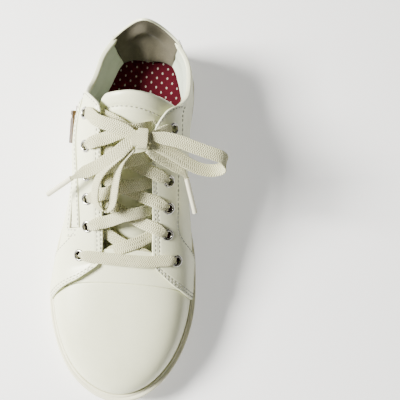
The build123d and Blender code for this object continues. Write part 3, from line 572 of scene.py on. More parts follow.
class Panel:
    """Piece of the upper over a grid of points and normals, with rounded edges.

    outside and inside are the offsets of its two faces, each a number or a function of the
    distance from the last column. relief and lining are functions of a dictionary of the
    distances from the four edges: relief raises the outer face, and lining swells the inner."""

    def __init__(self, base, up, outside, inside, round_by=0.8, relief=None, lining=None):
        self.base, self.up = base, up
        self.edges = dict(zip(("first", "last", "left", "right"),
                              (*spans(base, 0), *spans(base, 1))))
        outside, inside = (value(self.edges["right"]) if callable(value) else value
                           for value in (outside, inside))
        self.face = np.max(outside)
        near = np.min(list(self.edges.values()), axis=0)
        reach = np.clip(near / round_by, 0, 1)
        fall = np.minimum(round_by, (outside - inside) * 0.5) * (1 - np.sqrt(1 - (1 - reach) ** 2))
        top, bottom = outside - fall, inside + fall * 0.6
        if relief is not None:
            top = top + relief(self.edges) * ease(near / 0.8)
        if lining is not None:
            bottom = bottom - lining(self.edges) * ease(near / 0.8)
        self.top = base + top[..., None] * up
        self.bottom = base + bottom[..., None] * up

    def mesh(self, name, slot, holes=(), hole_radius=3.0):
        rows, columns = self.base.shape[:2]
        points = np.concatenate([self.top.reshape(-1, 3), self.bottom.reshape(-1, 3)])
        size = rows * columns
        keep = np.ones((rows - 1, columns - 1), bool)
        centre = (self.base[:-1, :-1] + self.base[1:, 1:]) / 2
        for hole in holes:
            keep &= np.linalg.norm(centre - hole, axis=-1) > hole_radius
        faces = []
        for i in range(rows - 1):
            for j in range(columns - 1):
                if not keep[i, j]:
                    continue
                a = i * columns + j
                quad = (a, a + columns, a + columns + 1, a + 1)
                faces.append(quad)
                faces.append(tuple(size + k for k in quad[::-1]))
                for (di, dj), (p, q) in (((-1, 0), (0, 3)), ((0, 1), (3, 2)), ((1, 0), (2, 1)),
                                         ((0, -1), (1, 0))):
                    ni, nj = i + di, j + dj
                    outside = not (0 <= ni < rows - 1 and 0 <= nj < columns - 1)
                    if outside or not keep[ni, nj]:
                        faces.append((quad[p], quad[q], size + quad[q], size + quad[p]))
        used = sorted({k for face in faces for k in face})
        index = {k: i for i, k in enumerate(used)}
        faces = [tuple(index[k] for k in face) for face in faces]
        return make_object(name, points[used], faces, slot)

    def line(self, edge, distance, start=0.0, end=1.0):
        """Points and normals of a line at a distance inside one edge."""
        axis = 0 if edge in ("first", "last") else 1
        step = -1 if edge in ("last", "right") else 1
        run, base, up = (np.moveaxis(grid, axis, 0)[::step]
                         for grid in (self.edges[edge], self.base, self.up))
        count = run.shape[1]
        points, normals = (
            np.array([[np.interp(distance, run[:, k], grid[:, k, c]) for c in range(3)]
                      for k in range(count)]) for grid in (base, up))
        normals = unit(normals)
        a, b = int(round(start * (count - 1))), int(round(end * (count - 1))) + 1
        return (points + self.face * normals)[a:b], normals[a:b]


def upper_panel(t, v, outside, inside, **how):
    """Panel on the upper's reference surface."""
    t, v = np.broadcast_arrays(t, v)
    return Panel(on_surface(t, v), normal(t, v), outside, inside, **how)


def groove(distance, depth=0.42, width=0.75):
    """Dip in the leather at a distance from its middle, as under a row of stitches."""
    return -depth * np.exp(-(distance / width) ** 2)


def stitch_mesh(name, body, lines):
    """One mesh of many short threads, each arched and dipping into the leather at its ends."""
    points, faces = [], []
    shape = np.array([(0.0, 0.35, -0.55), (0.12, 0.8, 0.0), (0.5, 1.0, 0.35), (0.88, 0.8, 0.0),
                      (1.0, 0.35, -0.55)])
    angles = turns(6)
    lift, length, gap, thread = 0.02, 2.1, 0.95, 0.4
    for line, normals in lines:
        run = run_along(line)
        for k in range(int(run[-1] // (length + gap))):
            at = k * (length + gap) + gap / 2 + shape[:, 0] * length
            p, n = (np.stack([np.interp(at, run, values[:, c]) for c in range(3)], axis=-1)
                    for values in (line, normals))
            n = unit(n)
            side = unit(np.cross(unit(np.gradient(p, axis=0)), n))
            middle, radius = p + n * (lift + shape[:, 2:3] * thread), thread * shape[:, 1:2]
            rings = [middle + radius * (side * np.cos(angle) + n * 0.8 * np.sin(angle))
                     for angle in angles]
            faces += tube_faces(len(shape), len(angles), len(points), flip=True)
            points += np.stack(rings, axis=1).reshape(-1, 3).tolist()
    settle(make_object(name, points, faces, "lace_cotton", THREAD), body=body)


def smooth_line(points, count):
    """Even spline through points."""
    points = np.asarray(points, float)
    gaps = np.linalg.norm(np.diff(points, axis=0), axis=1)
    s = np.concatenate([[0], np.cumsum(gaps)]) / gaps.sum()
    fine = np.linspace(0, 1, count)
    curve = [Curve(*zip(s, points[:, k])) for k in range(points.shape[1])]
    return np.stack([c(fine) for c in curve], axis=-1)


def squash(value, power):
    """Value from -1 to 1 pushed outwards, so that a circle becomes a rounded box."""
    return np.sign(value) * np.abs(value) ** power


def band(name, line, faces_to, width=LACE_WIDTH, thickness=LACE_THICKNESS, slot="lace_cotton",
         closed=False):
    """Flat woven band along a line, its face turned to the given directions."""
    line, faces_to = np.asarray(line, float), np.asarray(faces_to, float)
    count = len(line)
    width, thickness = np.broadcast_to(width, count), np.broadcast_to(thickness, count)
    if closed:
        tangent = unit(np.roll(line, -1, axis=0) - np.roll(line, 1, axis=0))
    else:
        tangent = unit(np.gradient(line, axis=0))
    side = unit(np.cross(tangent, faces_to))
    face = np.cross(side, tangent)
    angles = turns(24)
    flat, tall = squash(np.cos(angles), 0.55), squash(np.sin(angles), 0.45)
    points = (line[:, None, :] + side[:, None, :] * (flat[None, :, None] * width[:, None, None] / 2)
              + face[:, None, :] * (tall[None, :, None] * thickness[:, None, None] / 2))
    weave = np.zeros(points.shape)
    weave[..., 0] = run_along(line)[:, None]
    weave[..., 1] = flat[None, :] * LACE_WIDTH / 2 + 40
    faces = tube_faces(count, len(angles), joined=closed)
    return make_object(name, points.reshape(-1, 3), faces, slot, weave=weave.reshape(-1, 3))


# --- Free laces: each follows its route, a NURBS spline with the route's points as controls ---
ROUTES = {
    "lace_loop_side": [(17.0, 33.5, 95.4), (26.9, 32.8, 95), (36.0, 31.6, 94), (46.2, 28.8, 92),
                       (56.0, 27.0, 89.5), (62.2, 26.0, 87), (65.2, 23.5, 82.5), (62.8, 20.8, 78),
                       (56.4, 19.5, 76), (49.5, 19.4, 78), (42.0, 21.2, 81.5), (33.4, 25.0, 86.5),
                       (25.4, 27.8, 90.5), (17.0, 29.5, 93.2)],
    "lace_loop_down": [(8.4, 25.2, 93.2), (3.2, 21.8, 90), (-0.6, 15.2, 89), (-2.4, 6.2, 84),
                       (-3.5, -1.5, 78), (-4.5, -7.0, 74.5), (-8.3, -10.6, 72.4),
                       (-13.0, -9.6, 73), (-15.6, -4.6, 76), (-15.2, 1.5, 80), (-13.6, 7.0, 84),
                       (-9.4, 12.8, 87), (-2.6, 18.4, 90), (7.4, 27.5, 92.8)],
    "lace_end_lateral": [(7.4, 30.5, 95.8), (2.0, 24.8, 95.4), (-5.2, 19.5, 91),
                         (-13.2, 15.0, 86.5), (-21.8, 12.0, 81), (-31.0, 8.6, 76.5),
                         (-40.0, 3.7, 70.1), (-48.0, -0.7, 64.4)],
    "lace_end_medial": [(17.0, 26.4, 92.4), (22.9, 23.6, 86.2), (30.6, 21.6, 80.5),
                        (36.6, 18.8, 76), (40.4, 15.6, 71.5), (44.0, 5.5, 63.7),
                        (47.4, -4.2, 56.4)],
}


def route_line(points):
    """Points read from the NURBS spline that a route's points control."""
    curve = bpy.data.curves.new("route", "CURVE")
    curve.dimensions = "3D"
    spline = curve.splines.new("NURBS")
    spline.points.add(len(points) - 1)
    for control, point in zip(spline.points, points):
        control.co = (*(value * MM for value in point), 1.0)
    spline.order_u = 3
    spline.use_endpoint_u = True
    spline.resolution_u = 8
    holder = add_object("route", curve)
    mesh = bpy.data.meshes.new_from_object(holder)
    line = np.array([tuple(vertex.co) for vertex in mesh.vertices])
    bpy.data.objects.remove(holder)
    bpy.data.meshes.remove(mesh)
    bpy.data.curves.remove(curve)
    return line


# which way each loop's ribbon lies across its route, and its width at the middle
LOOPS = {"lace_loop_side": ((0.12, 1.0, 0.25), LACE_WIDTH),
         "lace_loop_down": ((0.75, -0.2, 0.8), LACE_WIDTH * 0.92)}
# how far along each loose end is rolled up for its aglet, the stretch over which it rolls, its size
ROLLED, ROLLING = {"lateral": 49.0, "medial": 33.5}, 11.0
ROLL_WIDTH, ROLL_THICKNESS = 2.5, 2.4


def make_free_laces():
    for name, points in ROUTES.items():
        path = route_line(points)
        line = path / MM
        run = run_along(line)
        share = run / run[-1]
        if name in LOOPS:
            across, full = LOOPS[name]
            facing = np.cross(np.broadcast_to(across, line.shape), unit(np.gradient(line, axis=0)))
            width = full * (0.62 + 0.38 * ease(np.minimum(share, 1 - share) / 0.09))
            thickness, with_pieces = LACE_THICKNESS, []
        else:
            side = name.split("_")[-1]
            with_pieces = [frame["nodes"][f"aglet_{side}"]]
            facing = np.broadcast_to((0.0, -0.3, 1.0), line.shape)
            flat = 1 - ease((run - (ROLLED[side] - ROLLING)) / ROLLING)
            width = ROLL_WIDTH + (LACE_WIDTH - ROLL_WIDTH) * flat * (0.7 + 0.3 * ease(share / 0.1))
            thickness = ROLL_THICKNESS + (LACE_THICKNESS - ROLL_THICKNESS) * flat
        piece = band(name + "_cloth", line, facing, width, thickness)
        settle(piece, name)


make_free_laces()


# --- Sole ---
def outline_limits(inset, ys):
    """Lateral and medial x of the plan outline, drawn in by a distance, at each y."""
    limits = []
    for side in (-1, 1):
        t = side * np.linspace(0, BACK, 400)
        x, y = outward(t, SOLE_RADIUS(t) - (inset(t) if callable(inset) else inset))
        order = np.argsort(y)
        limits.append(np.interp(ys, y[order], x[order]))
    return limits


def plate(name, slot, inset, ys, low, high, columns=24, dish=0.0):
    """Plan-shaped layer between two height curves over y."""
    left, right = outline_limits(inset, ys)
    w = np.linspace(0, 1, columns)[None, :]
    x = blend(left[:, None], right[:, None], w)
    y = np.broadcast_to(ys[:, None], x.shape)
    sag = dish * (1 - (2 * w - 1) ** 4) * np.ones_like(x)
    top = np.stack([x, y, high(ys)[:, None] - sag], axis=-1)
    bottom = np.stack([x, y, low(ys)[:, None] - sag * 0.5], axis=-1)
    rows, size = len(ys), len(ys) * columns
    faces = grid_faces(rows, columns, flip=True) + grid_faces(rows, columns, size)
    rim = list(range(columns)) + [i * columns + columns - 1 for i in range(1, rows)]
    rim += [(rows - 1) * columns + j for j in range(columns - 2, -1, -1)]
    rim += [i * columns for i in range(rows - 2, 0, -1)]
    for a, b in zip(rim, rim[1:] + rim[:1]):
        faces.append((b, a, size + a, size + b))
    points = np.concatenate([top.reshape(-1, 3), bottom.reshape(-1, 3)])
    return make_object(name, points, faces, slot)


def floor_z(y):
    return TOE_SPRING * np.clip((SPRING_START - y) / 46.0, 0, 1) ** 2


def make_sole():
    t = np.linspace(-BACK, BACK, 361)[:-1]
    edge, ledge = SOLE_RADIUS(t), LEDGE(t)
    cup = edge - ledge + 0.3
    # each point: radius, then height above the rim or, when low, above the floor
    loop = [(edge - 12, 6.9, 0), (cup, 6.9, 0), (cup, -1.2, 1), (cup + 0.05 * ledge, -0.1, 1),
            (cup + 0.13 * ledge, 0.42, 1), (cup + 0.22 * ledge, 0.5, 1),
            (cup + 0.30 * ledge, 0.2, 1), (cup + 0.36 * ledge, -0.45, 1),
            (cup + 0.44 * ledge, -0.5, 1), (cup + 0.52 * ledge, -0.2, 1),
            (edge - 0.22 * ledge, -0.25, 1),
            (edge - 0.10 * ledge, -0.6, 1), (edge - 0.02 * ledge, -1.5, 1), (edge, -2.6, 1),
            (edge + 0.05, -4.2, 1), (edge - 0.05, -5.2, 1), (edge - 0.5, -5.6, 1),
            (edge - 0.5, -6.0, 1), (edge, -6.4, 1), (edge + 0.05, 6.4, 0), (edge, 5.0, 0),
            (edge - 0.45, 4.6, 0), (edge - 0.45, 4.2, 0), (edge, 3.8, 0), (edge - 0.1, 2.2, 0),
            (edge - 0.5, 1.0, 0), (edge - 1.2, 0.3, 0), (edge - 2.4, 0.0, 0), (edge - 5.0, 0.0, 0),
            (edge - 7.9, 0.0, 0), (edge - 8.0, 2.2, 0), (edge - 12, 2.2, 0)]
    points = []
    for radius, height, from_rim in loop:
        x, y = outward(t, radius)
        points.append(np.stack([x, y, (RIM_Z if from_rim else floor_z)(y) + height], axis=-1))
    points = np.array(points).transpose(1, 0, 2)
    faces = tube_faces(len(t), len(loop), joined=True, flip=True)
    settle(make_object("sole_cup", points.reshape(-1, 3), faces, "sole_rubber"), "outsole")
    # the underside steps up over each pad, across a hundredth of a millimetre
    steps = [y + shift for pad in PADS for y in pad for shift in (0.0, 0.01)]
    ys = np.unique([*SOLE_ENDS, *steps, *np.linspace(*SOLE_ENDS, 70)])
    over_pad = np.any([(ys > front + 0.005) & (ys < back + 0.005) for front, back in PADS], axis=0)
    settle(plate("sole_bottom", "sole_rubber", 7.8, ys,
                 lambda y: floor_z(y) + np.where(over_pad, 2.2, 0), lambda y: floor_z(y) + 6.8))
    cover = plate("footbed_fabric", "insole_fabric", lambda t: LEDGE(t) + 6.0,
                  np.linspace(-121.0, 124.4, 90), lambda y: RIM_Z(y) + 2.2,
                  lambda y: RIM_Z(y) + 3.3, 30, dish=0.5)
    settle(cover, "footbed_cover")


# --- Upper ---
def cap_seam(side, v):
    """Station of the seam between toe cap and vamp."""
    return FAN_END - np.where(side < 0, 13.0, 7.5) * np.abs(1 - v) ** 1.6


def make_toe_and_vamp():
    p, q = spread(90, 100.0)[:, None] * 2 - 1, spread(52, 75.0)[None, :]
    x, y = p * np.sqrt(1 - q ** 2 / 2), q * np.sqrt(1 - p ** 2 / 2)
    v = 1 - np.hypot(x, y) * (1 - BELOW)
    turn = np.arctan2(x, y + 1e-9) / (np.pi / 2)
    limit = (cap_seam(np.sign(turn), v) - 0.12) / FAN_END
    share = np.abs(turn) * (FAN_LINEAR * limit + FAN_SQUARE * limit ** 2)
    root = np.sqrt(FAN_LINEAR ** 2 + 4 * FAN_SQUARE * share)
    w = (root - FAN_LINEAR) / (2 * FAN_SQUARE)
    t = np.sign(turn) * w * FAN_END
    cap = upper_panel(t, v, -0.05, -LEATHER, round_by=0.35)
    settle(cap.mesh("toe_cap_leather", "white_leather"), "toe_cap")

    w = (spread(110, 150.0)[:, None] * 2 - 1) * (1 - BELOW)
    a = spread(26, 24.0)[None, :]
    side, v = np.where(w < 0, -1, 1), 1 - np.abs(w)
    front = cap_seam(side, v) + 0.12
    rear = 102 + 20 * (1 - (1 - v) ** 2)
    vamp = upper_panel(side * (front + a * (rear - front)), v, 0.12, -LEATHER, round_by=0.45)
    holes = [point_on(side, *EYELETS[side][5]) for side in SIDES]
    settle(vamp.mesh("vamp_leather", "white_leather", holes), "vamp")


def zip_v(t, q):
    """Height parameter of a line along the zip, q mm above its centre line."""
    share = (np.abs(t) - FAN_END + TOE_POLE[1] - ZIP_BOTTOM[1]) / (ZIP_TOP[1] - ZIP_BOTTOM[1])
    heights = ZIP_BOTTOM[2] + (ZIP_TOP[2] - ZIP_BOTTOM[2]) * share
    return v_shift(t, v_at_height(t, heights), q)


def eyestay_outer(side):
    """Outer edge of an eyestay, from the collar down and forward along the feather."""
    ys = np.array([68.0, 48.0, 28.0, 10.0, -8.0, -20.0] if side < 0 else
                  [64.5, 46.0, 28.0, 10.0, -6.0, -19.0])
    t = side * station(ys)
    v = zip_v(t, ZIP_EDGE) if side < 0 else v_at_radius(t, [33.0, 32.6, 32.4, 32.4, 32.8, 34.4])
    s = [0.0, 0.14, 0.28, 0.42, 0.56, 0.66, 0.75, 0.83, 0.91, 1.0]
    last = (122.0, 113.0, 96.0, 87.0) if side < 0 else (126.0, 117.0, 100.0, 92.0)
    t = [*t, *(side * x for x in last)]
    v = [*v, v[-1] * 0.58, v[-1] * 0.14, 0.03, 0.03]
    return Curve(*zip(s, t)), Curve(*zip(s, v))


def throat_edge(side):
    """Edge of an eyestay along the lace opening, from the top down."""
    ys = np.array([51.5, 31.0, 10.0, -10.0, -28.0, -38.0, -44.0] if side < 0 else
                  [49.0, 30.0, 10.0, -10.0, -28.0, -38.0, -44.0])
    t = side * station(ys)
    v = v_at_radius(t, [16.5, 16, 16, 16, 16, 17, 19.5])
    s = np.linspace(0, 1, 7)
    return Curve(*zip(s, t)), Curve(*zip(s, v))


def corner_cut(distance, radius):
    """How far a rounded corner stands back at a distance from the side edge."""
    d = np.clip(radius - distance, 0, radius)
    return radius - np.sqrt(radius ** 2 - d ** 2)


# rows of stitches on an eyestay: the edge, the distance in from it, and the stretch of it
STAY_SEAMS = (("right", 2.0, 0.02, 0.97), ("right", 4.6, 0.05, 0.95), ("last", 2.0, 0.03, 0.97),
              ("last", 4.4, 0.03, 0.93), ("left", 1.8, 0.02, 0.99), ("first", 2.0, 0.15, 0.9))
BAR_TACK = ("right", 9.0, 0.9, 0.96)


def make_eyestays():
    lines = []
    for side, name in SIDES.items():
        outer, throat = eyestay_outer(side), throat_edge(side)
        rise = spread(34, 24.0)[None, :]
        s = spread(120, 130.0)[:, None]
        cut = corner_cut((1 - rise) * 20, 4.0 if side < 0 else 13.0) + corner_cut(rise * 20, 3.0)
        foot = corner_cut((1 - rise) * 28, 6.0)
        s = cut / 130.0 + s * (1 - (cut + foot) / 130.0)
        t, v = (blend(edge(s), inner(s), rise) for edge, inner in zip(outer, throat))
        t = t - side * FRONT_BOW * 4 * rise * (1 - rise) * s ** 5
        lifted = (2.6 if side < 0 else 0.6) * ease((rise - 0.25) / 0.5) * ease((s - 0.86) / 0.14)

        def relief(edges):
            padding = 0.25 * ease(edges["right"] / 3) * ease(edges["left"] / 3)
            return padding + sum(groove(edges[edge] - inset) for edge, inset, *_ in STAY_SEAMS)

        stay = Panel(surface(t, v, lifted), normal(t, v), STAY_FACE, 0.3, relief=relief)
        holes = [point_on(side, *place) for place in EYELETS[side]]
        settle(stay.mesh(f"eyestay_{name}_leather", "white_leather", holes), f"eyestay_{name}")
        lines += [stay.line(*seam) for seam in (*STAY_SEAMS, BAR_TACK)]
    return lines


def lathe(centre, axis, profile, segments=40):
    """Ring of a closed profile of radius and height round an axis."""
    axis = unit(np.asarray(axis, float))
    side = unit(np.cross(axis, (0.0, 1.0, 0.3)))
    other = np.cross(axis, side)
    angles = turns(segments)
    around = np.cos(angles)[:, None] * side + np.sin(angles)[:, None] * other
    points = np.array([centre + around * radius + axis * height for radius, height in profile])
    return points.transpose(1, 0, 2)


def make_eyelets():
    flange = [(2.35, -0.2), (2.45, 0.35), (2.75, 0.75), (3.2, 0.9), (3.7, 0.75), (4.1, 0.35),
              (4.3, 0.02), (4.0, -0.1), (2.75, -0.15)]
    profile = [(2.35, -2.2), *((radius, STAY_FACE + height) for radius, height in flange),
               (2.7, -1.6), (3.4, -1.9), (3.4, -2.3)]
    for side, name in SIDES.items():
        points, faces = [], []
        for place in EYELETS[side]:
            rings = lathe(point_on(side, *place), normal_on(side, *place), profile)
            faces += tube_faces(len(rings), len(profile), len(points), joined=True)
            points += rings.reshape(-1, 3).tolist()
        settle(make_object(f"eyelet_rings_{name}", points, faces, "nickel"), f"eyelets_{name}")


def make_quarters():
    lines = []
    for side, name in SIDES.items():
        bend = QUARTER_START + (BACK - 0.1 - QUARTER_START) * spread(200, 250.0)
        t = side * bend
        front = np.interp(bend, [QUARTER_START, 118.0, 132.0, 134.0], [0.10, 0.26, 0.52, 0.55])
        edge = zip_v(t, -3.6) if side < 0 else v_shift(t, v_at_radius(t, 33.0), 4.0)
        collar = v_at_height(t, COLLAR_Z(t) - 2.6)
        upper = edge + (collar - edge) * ease((bend - COLLAR_START[side]) / 7)
        high = front + (upper - front) * ease((bend - 126) / 8)
        rise = spread(44, 45.0)[None, :]
        behind = ease((bend[:, None] - 222) / 8)

        def relief(edges):
            down = edges["right"]
            pad = 0.9 * np.exp(-((down - 10) / 8.0) ** 2)
            return behind * (pad + groove(down - COLLAR_SEAM, depth=0.5, width=0.9))

        quarter = upper_panel(t[:, None], blend(BELOW, high[:, None], rise), 0.0, -LEATHER,
                              relief=relief)
        settle(quarter.mesh(f"quarter_{name}_leather", "white_leather"), f"quarter_{name}")
        lines += [quarter.line("right", COLLAR_SEAM, 0.62, 0.86),
                  quarter.line("right", 1.8, 0.14, 0.55)]
    return lines


def cup_sweep(bend, down):
    """How far the foot of the lining swells inwards over the edge of the insole."""
    back = np.minimum(bend, 2 * BACK - bend)[:, None]
    reach = 5.0 * ease((back - 225) / 30) + 11.0 * ease((back - 266) / 30)
    return reach * ease((down / down[:, :1] - 0.3) / 0.65)


def rim_band(name, t, below, offset, taper, width, thickness):
    """Narrow leather band along the collar, its face turned up."""
    v = v_at_height(t, COLLAR_Z(t) - below)
    up = unit(surface(t, v_shift(t, v, 2.0)) - surface(t, v))
    return band(name, surface(t, v, offset), up, width * taper, thickness * taper,
                slot="white_leather")


def lining_panel(side, bend, rise, high, depths, reach, swell):
    """Lining that curls over the padding at its top and runs down inside it.

    depths are how far its outer and inner faces sink over a reach below the top."""
    outer, inner = (lambda down, top=top, sink=sink:
                    top - sink * ease(down / reach) - cup_sweep(bend, down) for top, sink in depths)
    return upper_panel(side * bend[:, None], blend(0.10, high[:, None], rise), outer, inner,
                       lining=swell)


# the sewn edges of the heel tab, and the stretch of each that its stitches run along
TAB_EDGES = {"left": (0.04, 0.96), "first": (0.06, 0.97), "last": (0.06, 0.97)}


def make_collar():
    for side, name in SIDES.items():
        # rolled padded edge
        t = side * np.linspace(COLLAR_START[side] + 2.0, 273.0, 90)
        taper = 0.45 + 0.55 * ease(np.minimum(np.arange(90), (89 - np.arange(90)) * 1.6) / 9)
        roll = rim_band(f"collar_edge_{name}", t, 2.3, -1.25, taper, 3.5, 4.2)
        settle(roll, f"collar_roll_{name}")
        # lining over the padding
        bend = LINING_START + (HEEL_LINING_START - 0.2 - LINING_START) * spread(60, 60.0)
        high = v_at_height(side * bend, np.minimum(COLLAR_Z(side * bend) - 1.2, 76.0))

        def swell(edges):
            down = edges["right"]
            return np.exp(-((down - 9) / 8.0) ** 2) + groove(down - 21, depth=0.5, width=1.1)

        lining = lining_panel(side, bend, spread(34, 35.0)[None, :], high,
                              ((-1.6, 2.6), (-2.7, 2.5)), 9, swell)
        settle(lining.mesh(f"collar_lining_{name}_leather", "mint_lining"),
               f"collar_lining_{name}", f"collar_foam_{name}")
    # suede heel lining, then the heel tab outside it
    bend = HEEL_LINING_START + 2 * (BACK - HEEL_LINING_START) * spread(70, 80.0)
    rise = spread(40, 45.0)[None, :]

    def swell(edges):
        seams = groove(np.minimum(edges["first"], edges["last"]), depth=0.5, width=1.2)
        return 1.3 * np.exp(-((edges["right"] - 11) / 8.0) ** 2) + seams

    heel = lining_panel(1, bend, rise, v_at_height(bend, COLLAR_Z(bend) - 0.5),
                        ((0.1, 4.1), (-0.9, 4.5)), 13, swell)
    settle(heel.mesh("heel_lining_suede", "taupe_suede"), "heel_lining", "collar_foam_heel")

    bend = HEEL_TAB_START + 2 * (BACK - HEEL_TAB_START) * spread(90, 85.0)
    low, high = v_at_height(bend, 40.0), v_at_height(bend, COLLAR_Z(bend) - 0.6)
    tab = upper_panel(bend[:, None], blend(low[:, None], high[:, None], rise),
                      lambda down: LEATHER + 0.5 - 1.1 * ease(1 - down / 9),
                      lambda down: 0.35 - 0.6 * ease(1 - down / 9),
                      relief=lambda edges: groove(
                          np.min([edges[edge] for edge in TAB_EDGES], axis=0) - TAB_SEAM))
    settle(tab.mesh("heel_tab_leather", "white_leather"), "heel_tab")
    t = np.linspace(268.0, 2 * BACK - 268.0, 120)
    taper = 0.7 + 0.3 * ease(np.minimum(np.arange(120), 119 - np.arange(120)) / 8)
    settle(rim_band("heel_edge", t, 1.3, 0.1, taper, 1.7, 2.2))
    return [tab.line(edge, TAB_SEAM, *stretch) for edge, stretch in TAB_EDGES.items()]


# --- Tongue ---
TONGUE_FRONT, TONGUE_BACK, TONGUE_SINK, TONGUE_CREST = -35.0, 61.0, 1.8, 4.0
TONGUE_Z = Curve((-36, 45.6), (-20, 54.0), (0, 64.0), (20, 74.5), (40, 86.2), (50, 93.4),
                 (60, 101.0))
TONGUE_X = Curve((-36, 4.8), (-20, 4.5), (0, 3.5), (20, 2.6), (35, 3.2), (50, 6.0), (60, 9.6))
TONGUE_HALF = Curve((-36, 19.0), (-20, 20.0), (0, 21.5), (20, 23.0), (40, 22.6), (50, 25.0),
                    (60, 28.0))


def tongue_grid(s, c, margin=0.0):
    """Top face of the tongue; its free end is rounded and falls away on the medial side."""
    corner = corner_cut((1 - np.abs(c)) * 26, 7.0)
    y = TONGUE_FRONT + (TONGUE_BACK - margin - TONGUE_FRONT) * s
    y = y - s ** 6 * (1.6 * c ** 2 + 1.1 * c + 0.2 + corner)
    half = TONGUE_HALF(y) - margin
    x = TONGUE_X(y) + half * c
    z = TONGUE_Z(y) - TONGUE_SINK - 12.5 * ((x - TONGUE_CREST) / 23.0) ** 2
    grid = np.stack([x, y, z], axis=-1)
    up = unit(np.cross(np.gradient(grid, axis=1), np.gradient(grid, axis=0)))
    return grid, up


def make_tongue():
    s, c = spread(96, 105.0)[:, None], spread(46, 44.0)[None, :] * 2 - 1

    def relief(edges):
        side, last = np.minimum(edges["left"], edges["right"]), edges["last"]
        return (0.7 * ease(side / 8) * ease(last / 5)
                + groove(last - TONGUE_SEAM, depth=0.75, width=1.1)
                + groove(side - 3.0, depth=0.25, width=1.0))

    tongue = Panel(*tongue_grid(s, c), -0.35, -4.2, round_by=2.0, relief=relief)
    piece = tongue.mesh("tongue_leather", "white_leather")
    settle(piece, "tongue_outer", "tongue_padding", body="tongue")
    lining = Panel(*tongue_grid(s, c, 0.4), -4.25, -5.1, round_by=0.5)
    settle(lining.mesh("tongue_lining_leather", "mint_lining"), "tongue_lining", body="tongue")
    row, lean = tongue.line("last", TONGUE_SEAM, 0.12, 0.88)
    return [(row + lean * 0.2, lean)]


# --- Lacing ---
def lace_line(points, facing, count):
    """Smooth line through points, with the way its face turns, and the distance along it."""
    both = smooth_line(np.concatenate([points, facing], axis=1), count)
    return both[:, :3], both[:, 3:], run_along(both[:, :3])


def spread_out(run, length, full=LACE_WIDTH):
    """Width of a lace that opens out flat after an eyelet."""
    return LACE_IN_HOLE + (full - LACE_IN_HOLE) * ease(run / length)


def lace_run(side, row, hump):
    """Crossing lace: out of one eyelet, over the throat, under the other eyestay."""
    y, radius = EYELETS[side][row]
    end_y, _ = EYELETS[-side][row - 1]
    near = [(0.0, radius - 0.7, -1.4), (0.035, radius - 2.3, 3.0), (0.09, radius - 4.4, 3.5),
            (0.18, 18.0, 3.1), (0.24, 13.5, 2.4 if side < 0 else 1.7)]
    far = [(0.72, 10.0, 1.4 if side < 0 else -0.9), (0.84, 16.5, -2.3), (0.91, 19.0, -2.4)]
    near, far = (
        [point_on(way, y + (end_y - y) * share, reach, offset) for share, reach, offset in places]
        for way, places in ((side, near), (-side, far)))
    middle = (near[-1] + far[0]) * 0.5 + (0, 0, hump)
    tilt = side * 0.42
    facing = [(-side, -0.2, 1), (tilt * 0.3, -0.3, 1), (tilt, -0.3, 1), (tilt, -0.3, 1),
              (0.6 * tilt, -0.4, 1), (0, -0.45, 1), (-0.5 * tilt, -0.4, 1), (-tilt, -0.3, 1),
              (-tilt, -0.3, 1)]
    line, facing, run = lace_line([*near, middle, *far], facing, 70)
    thickness = 1.9 + (LACE_THICKNESS - 1.9) * ease(run / 9.0)
    return line, facing, spread_out(run, 11.0), thickness


def low_run(side):
    """Lace that crosses under both eyestays, from the lowest pair to the next."""
    height = -0.9 * side
    near = [(-39.0, 21.0, -2.6), (-37.0, 16.0, -2.2), (-33.5, 9.0, -1.0 + height * 0.5)]
    far = [(-26.0, 9.0, -1.0 + height * 0.5), (-22.5, 16.0, -2.3), (-20.5, 21.0, -2.8)]
    middle = (point_on(side, -31.0, 5.0) + point_on(-side, -28.5, 5.0)) / 2 + (0, 0, height)
    points = [*(point_on(side, *place) for place in near), middle,
              *(point_on(-side, *place) for place in far)]
    tilt = side * 0.42
    facing = [(tilt, -0.4, 1), (tilt, -0.4, 1), (0.5 * tilt, -0.45, 1), (0, -0.45, 1),
              (-0.5 * tilt, -0.45, 1), (-tilt, -0.4, 1), (-tilt, -0.4, 1)]
    return lace_line(points, facing, 50)[:2]


def join(pieces, name):
    """One object from several of the same material."""
    with bpy.context.temp_override(active_object=pieces[0], selected_editable_objects=pieces):
        bpy.ops.object.join()
    pieces[0].name = name
    return pieces[0]


